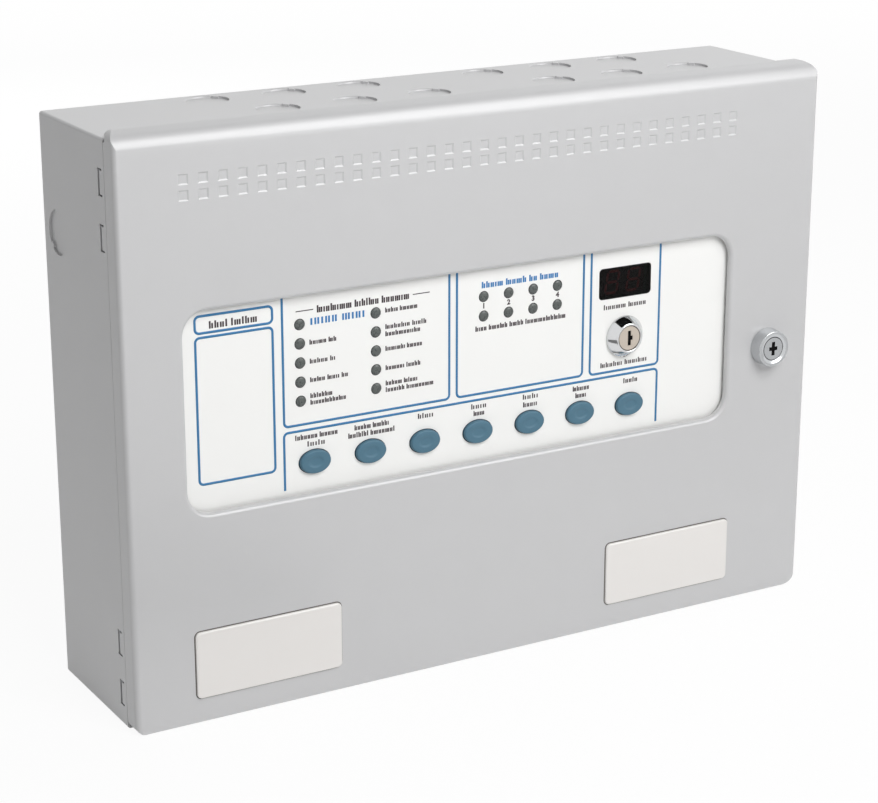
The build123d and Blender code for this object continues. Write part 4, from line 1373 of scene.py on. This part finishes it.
@dataclass
class Inside:
    """What the open lid shows: chassis, boards, terminals, batteries and supply."""

    finishes: dict[str, Finish] = field(
        default_factory=lambda: {
            "display_chassis": ZINC, "chassis_screws": ZINC, "display_label": LABEL, "display_board": BOARD,
            "board_spacers": ZINC, "board_screws": ZINC, "push_switches": BLACK, "buzzer": BLACK,
            "terminal_board": BOARD, "terminal_spacers": ZINC, "terminal_screws": ZINC, "terminal_blocks": GREEN,
            "relays": BLUE, "fuse_holders": BLACK, "battery_left": BATTERY, "battery_right": BATTERY,
            "battery_tabs": BRASS, "battery_bracket": ZINC, "battery_bracket_screws": ZINC, "power_supply": ZINC,
            "power_supply_screws": ZINC, "mains_terminals": BLACK, "earth_stud": BRASS, "earth_nuts": BRASS,
        }
    )
    film_size: Pair = (74.0, 24.0)
    film_corner: float = 2.0
    film_rise: float = 0.15
    film_steps: int = 2
    blocks: int = 6
    block_length: float = 40.0
    block_ways: int = 8
    mains_ways: int = 3
    way_head: float = 1.5
    mains_head: float = 2.6
    head_rise: float = 0.5
    head_top: Pair = (0.85, 0.5)
    head_segments: int = 20
    slit: Pair = (0.8, 0.16)
    recess: Pair = (3.0, 0.7)
    screw_radius: float = 3.0
    supply_screw_radius: float = 2.2
    recess_rise: float = 0.04
    chip_size: Triple = (11.0, 2.4, 6.5)
    chip_rows: tuple[float, ...] = (180.0, 196.0)
    chip_columns: tuple[float, ...] = (74.0, 98.0, 122.0, 146.0, 170.0, 194.0)
    can_radius: float = 4.0
    can_height: float = 11.0
    can_top: Pair = (0.88, 0.5)
    can_segments: int = 28
    cans: tuple[Pair, ...] = ((222.0, 186.0), (234.0, 186.0), (246.0, 186.0), (266.0, 190.0), (280.0, 190.0))

    def build(self) -> None:
        """Dresses every inner node with its finish and adds what repeats."""
        for node, finish in self.finishes.items():
            Maker.eased(f"{node}_dressed", node, finish, "case")
        self.way_screws()
        self.screw_recesses()
        self.board_parts()
        for side in ("left", "right"):
            self.battery_film(side)

    def battery_film(self, side: str) -> None:
        """Sticks a bare film on the front of a battery.

        Args:
            side: Which battery, left or right.
        """
        low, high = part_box(f"battery_{side}")
        middle = (low + high) / 2
        half = Vector(self.film_size) * MM / 2
        corners = (
            Vector((middle.x - half.x, low.y - self.film_rise * MM, middle.z - half.y)),
            Vector((middle.x + half.x, low.y, middle.z + half.y)),
        )
        shape = Shapes.soft_plate(corners, self.film_corner, self.film_rise / 2, self.film_steps)
        Maker.piece(f"battery_film_{side}", Maker.mesh_of(shape), PLATE, "case")

    def heads(self, name: str, spots: Sequence[Vector], radius: float) -> None:
        """Sets screw heads at points on a front face, with a thin dark bar on each that paints the shade of its slot.

        Args:
            name: The pieces' name.
            spots: Middle of each head, on the face that carries it.
            radius: Radius of the heads, in millimetres.
        """
        rise = self.head_rise
        top, fall = self.head_top
        profile = [(0.0, -rise), (radius * top, -rise), (radius, -rise * fall), (radius, 0.0), (0.0, 0.0)]
        Repeater.piece(name, Shapes.turned_about_origin(profile, self.head_segments), spots, ZINC)
        long, wide = (share * 2 * radius for share in self.slit)
        fronts = [spot - Vector((0.0, rise * MM, 0.0)) for spot in spots]
        # Painted shade: a thin near-black bar on each head stands for its slot.
        self.bars(f"{name}_slots", fronts, (long, self.recess_rise, wide), SHADE)

    @staticmethod
    def bars(name: str, spots: Sequence[Vector], size: Triple, finish: Finish) -> None:
        """Sets blocks of one size with their backs at the points.

        Args:
            name: The piece's name.
            spots: Middle of each block's back.
            size: Width, depth and height of a block, in millimetres.
            finish: What they are covered with.
        """
        block = bmesh.new()
        bmesh.ops.create_cube(block, size=1.0)
        bmesh.ops.translate(block, verts=block.verts, vec=(0.0, -0.5, 0.0))
        Repeater.piece(name, block, spots, finish, [Vector(size) * MM] * len(spots))

    def way_screws(self) -> None:
        """Puts a screw in each way of the terminal blocks and of the mains terminals."""
        low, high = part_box("terminal_blocks")
        pitch = (high.x - low.x - self.block_length * MM) / (self.blocks - 1)
        step = self.block_length * MM / self.block_ways
        level = (low.z + high.z) / 2
        spots = [
            Vector((low.x + i * pitch + (j + 0.5) * step, low.y, level))
            for i in range(self.blocks)
            for j in range(self.block_ways)
        ]
        self.heads("way_screws", spots, self.way_head)
        low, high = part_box("mains_terminals")
        step = (high.x - low.x) / self.mains_ways
        spots = [Vector((low.x + (i + 0.5) * step, low.y, (low.z + high.z) / 2)) for i in range(self.mains_ways)]
        self.heads("mains_way_screws", spots, self.mains_head)

    def screw_recesses(self) -> None:
        """Paints the shade of the cross recess of each screw that faces forwards, as a thin dark cross."""
        for node in ("chassis_screws", "terminal_screws", "power_supply_screws"):
            low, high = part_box(node)
            reach = (self.screw_radius if node != "power_supply_screws" else self.supply_screw_radius) * MM
            columns, rows = (low.x + reach, high.x - reach), (low.z + reach, high.z - reach)
            spots = [Vector((x, low.y, z)) for x in columns for z in rows]
            long, wide = self.recess
            # Painted shade: a thin near-black cross stands for each recess.
            shape = bmesh.new()
            for size in ((long, wide), (wide, long)):
                made = bmesh.ops.create_cube(shape, size=1.0)["verts"]
                bmesh.ops.scale(shape, verts=made, vec=Vector((size[0], self.recess_rise, size[1])) * MM)
            Repeater.piece(f"{node}_recesses", shape, spots, SHADE)

    def board_parts(self) -> None:
        """Sets chips and capacitors on the terminal board."""
        face = PANEL.depth_of("terminal_board")
        chips = [PANEL.point(x, face, z) for x in self.chip_columns for z in self.chip_rows]
        self.bars("board_chips", chips, self.chip_size, BLACK)
        rise, radius = self.can_height, self.can_radius
        top, fall = self.can_top
        profile = [(0.0, -rise), (radius * top, -rise), (radius, fall - rise), (radius, 0.0), (0.0, 0.0)]
        spots = [PANEL.point(x, face, z) for x, z in self.cans]
        Repeater.piece("board_capacitors", Shapes.turned_about_origin(profile, self.can_segments), spots, BLUE)


@dataclass(frozen=True)
class SoftBox:
    """A lamp of the studio, and whether matt surfaces and reflections see it."""

    name: str
    place: Triple
    size: Pair
    power: float
    lights: bool = True
    mirrors: bool = True


@dataclass(frozen=True)
class Card:
    """A grey card of the studio that only reflections see."""

    name: str
    place: Triple
    size: Pair
    shade: float


@dataclass
class Studio:
    """Pale floor, soft light and the camera at the photograph's viewing angle."""

    floor_size: float = 30.0
    floor_tone: float = 0.95
    floor_roughness: float = 0.9
    floor_glow: float = 0.93
    floor_fade: Pair = (0.7, 2.6)
    ambient: float = 0.18
    target: Triple = (0.0, 0.0, 0.14)
    lamps: tuple[SoftBox, ...] = (
        SoftBox("key", (0.08, -1.15, 1.18), (0.9, 0.9), 18.2, mirrors=False),
        SoftBox("strip", (0.62, -1.05, 0.95), (0.8, 1.5), 14.5, lights=False),
        SoftBox("top", (0.75, 0.15, 0.80), (0.5, 0.5), 1.9, mirrors=False),
        SoftBox("back", (0.30, 1.60, 0.70), (0.9, 0.9), 8.0, mirrors=False),
    )
    cards: tuple[Card, ...] = (
        Card("ceiling_card", (0.55, -0.3, 1.5), (2.1, 0.9), 0.01),
        Card("floor_card", (0.62, -0.62, 0.01), (0.8, 0.8), 0.8),
        Card("bezel_card", (-0.22, -0.20, 0.01), (0.34, 0.16), 0.3),
    )
    camera_place: Triple = (-0.5680, -0.9699, 0.4785)
    azimuth: float = -30.04
    elevation: float = 17.59
    lens: float = 96.23
    sensor: float = 36.0
    clip_start: float = 0.01

    def build(self) -> None:
        """Sets up the world, floor, lamps, cards and camera."""
        bpy.context.scene.view_settings.view_transform = "Standard"
        self.world()
        self.floor()
        for lamp in self.lamps:
            self.soft_box(lamp)
        for card in self.cards:
            self.grey_card(card)
        self.camera()

    def world(self) -> None:
        """Makes a world that is white where it is seen and lights the object plainly."""
        world = bpy.data.worlds.new("studio")
        bpy.context.scene.world = world
        world.use_nodes = True
        tree = world.node_tree
        seen = tree.nodes["Background"]
        light, mix = Tree.nodes(tree, "ShaderNodeBackground", "ShaderNodeMixShader")
        Tree.fill(seen, Color=WHITE)
        Tree.fill(light, Color=WHITE, Strength=self.ambient)
        Tree.join(
            tree,
            (*self.seen_rays(tree), mix, "Fac"), (light, 0, mix, 1), (seen, 0, mix, 2),
            (mix, 0, tree.nodes["World Output"], "Surface"),
        )

    @staticmethod
    def seen_rays(tree: bpy.types.NodeTree) -> Out:
        """Adds nodes that tell the rays by which the background is seen.

        Args:
            tree: The material's or world's own tree.

        Returns:
            A node and its output, which is 1 for camera, glossy and transmission rays.
        """
        path = tree.nodes.new("ShaderNodeLightPath")
        found: Out = (path, "Is Camera Ray")
        for name in ("Is Glossy Ray", "Is Transmission Ray"):
            found = Tree.math(tree, "MAXIMUM", found, (path, name))
        return found

    @staticmethod
    def sheet(name: str, size: Pair, shade: float) -> bpy.types.Object:
        """Makes a flat sheet with a plain material.

        Args:
            name: Name of the sheet and of its material.
            size: Its sides.
            shade: Grey of its material.

        Returns:
            The linked sheet.
        """
        shape = bmesh.new()
        bmesh.ops.create_grid(shape, x_segments=1, y_segments=1, size=0.5)
        bmesh.ops.scale(shape, verts=shape.verts, vec=(*size, 1.0))
        mesh = bpy.data.meshes.new(name)
        shape.to_mesh(mesh)
        shape.free()
        material = bpy.data.materials.new(name)
        material.use_nodes = True
        Tree.fill(material.node_tree.nodes["Principled BSDF"], Base_Color=(shade, shade, shade, 1.0))
        mesh.materials.append(material)
        return linked(name, mesh)

    def floor(self) -> None:
        """Lays the pale floor, which takes the shadow and fades into the white world further away."""
        floor = self.sheet("floor", (self.floor_size, self.floor_size), self.floor_tone)
        tree = floor.data.materials[0].node_tree
        shader = tree.nodes["Principled BSDF"]
        glow, place, reach, fade, mix = Tree.nodes(
            tree, "ShaderNodeEmission", "ShaderNodeTexCoord", "ShaderNodeVectorMath", "ShaderNodeMapRange",
            "ShaderNodeMixShader",
        )
        reach.operation, fade.interpolation_type = "LENGTH", "SMOOTHSTEP"
        near, far = self.floor_fade
        Tree.fill(shader, Roughness=self.floor_roughness)
        Tree.fill(fade, From_Min=near, From_Max=far, To_Min=self.floor_glow)
        share = Tree.math(tree, "MULTIPLY", self.seen_rays(tree), (fade, "Result"))
        Tree.join(
            tree,
            (place, "Object", reach, 0), (reach, "Value", fade, "Value"), (*share, mix, "Fac"),
            (shader, 0, mix, 1), (glow, 0, mix, 2), (mix, 0, tree.nodes["Material Output"], "Surface"),
        )

    def soft_box(self, lamp: SoftBox) -> None:
        """Hangs one lamp, turned to the object.

        Args:
            lamp: The lamp.
        """
        light = bpy.data.lights.new(lamp.name, "AREA")
        light.shape = "RECTANGLE"
        light.size, light.size_y = lamp.size
        light.energy = lamp.power
        holder = linked(lamp.name, light)
        place = Vector(lamp.place)
        holder.location = place
        holder.rotation_euler = (Vector(self.target) - place).to_track_quat("-Z", "Y").to_euler()
        holder.visible_diffuse, holder.visible_glossy = lamp.lights, lamp.mirrors

    def grey_card(self, card: Card) -> None:
        """Lays out a grey card that only reflections see.

        Args:
            card: The card.
        """
        holder = self.sheet(card.name, card.size, card.shade)
        shader = holder.data.materials[0].node_tree.nodes["Principled BSDF"]
        Tree.fill(shader, Specular_IOR_Level=0.0)
        holder.location = card.place
        holder.visible_camera = holder.visible_diffuse = holder.visible_shadow = False

    def camera(self) -> None:
        """Places the camera at the photograph's angle."""
        lens = bpy.data.cameras.new("camera")
        lens.sensor_width, lens.lens, lens.clip_start = self.sensor, self.lens, self.clip_start
        camera = linked("camera", lens)
        camera.location = self.camera_place
        tilt, turn = math.radians(90.0 - self.elevation), math.radians(self.azimuth)
        camera.rotation_euler = Euler((tilt, 0.0, turn), "XYZ")
        bpy.context.scene.camera = camera


def main() -> None:
    """Builds the sub-assemblies in order."""
    logging.basicConfig(level=logging.INFO, format="%(name)s %(message)s")
    for assembly in (Case(), CamLock(), Inside(), LabelPrint(), Lamps(), Buttons(), Display(), KeySwitch(), Studio()):
        assembly.build()
        log.info("%s done", type(assembly).__name__)


if __name__ == "__main__":
    main()
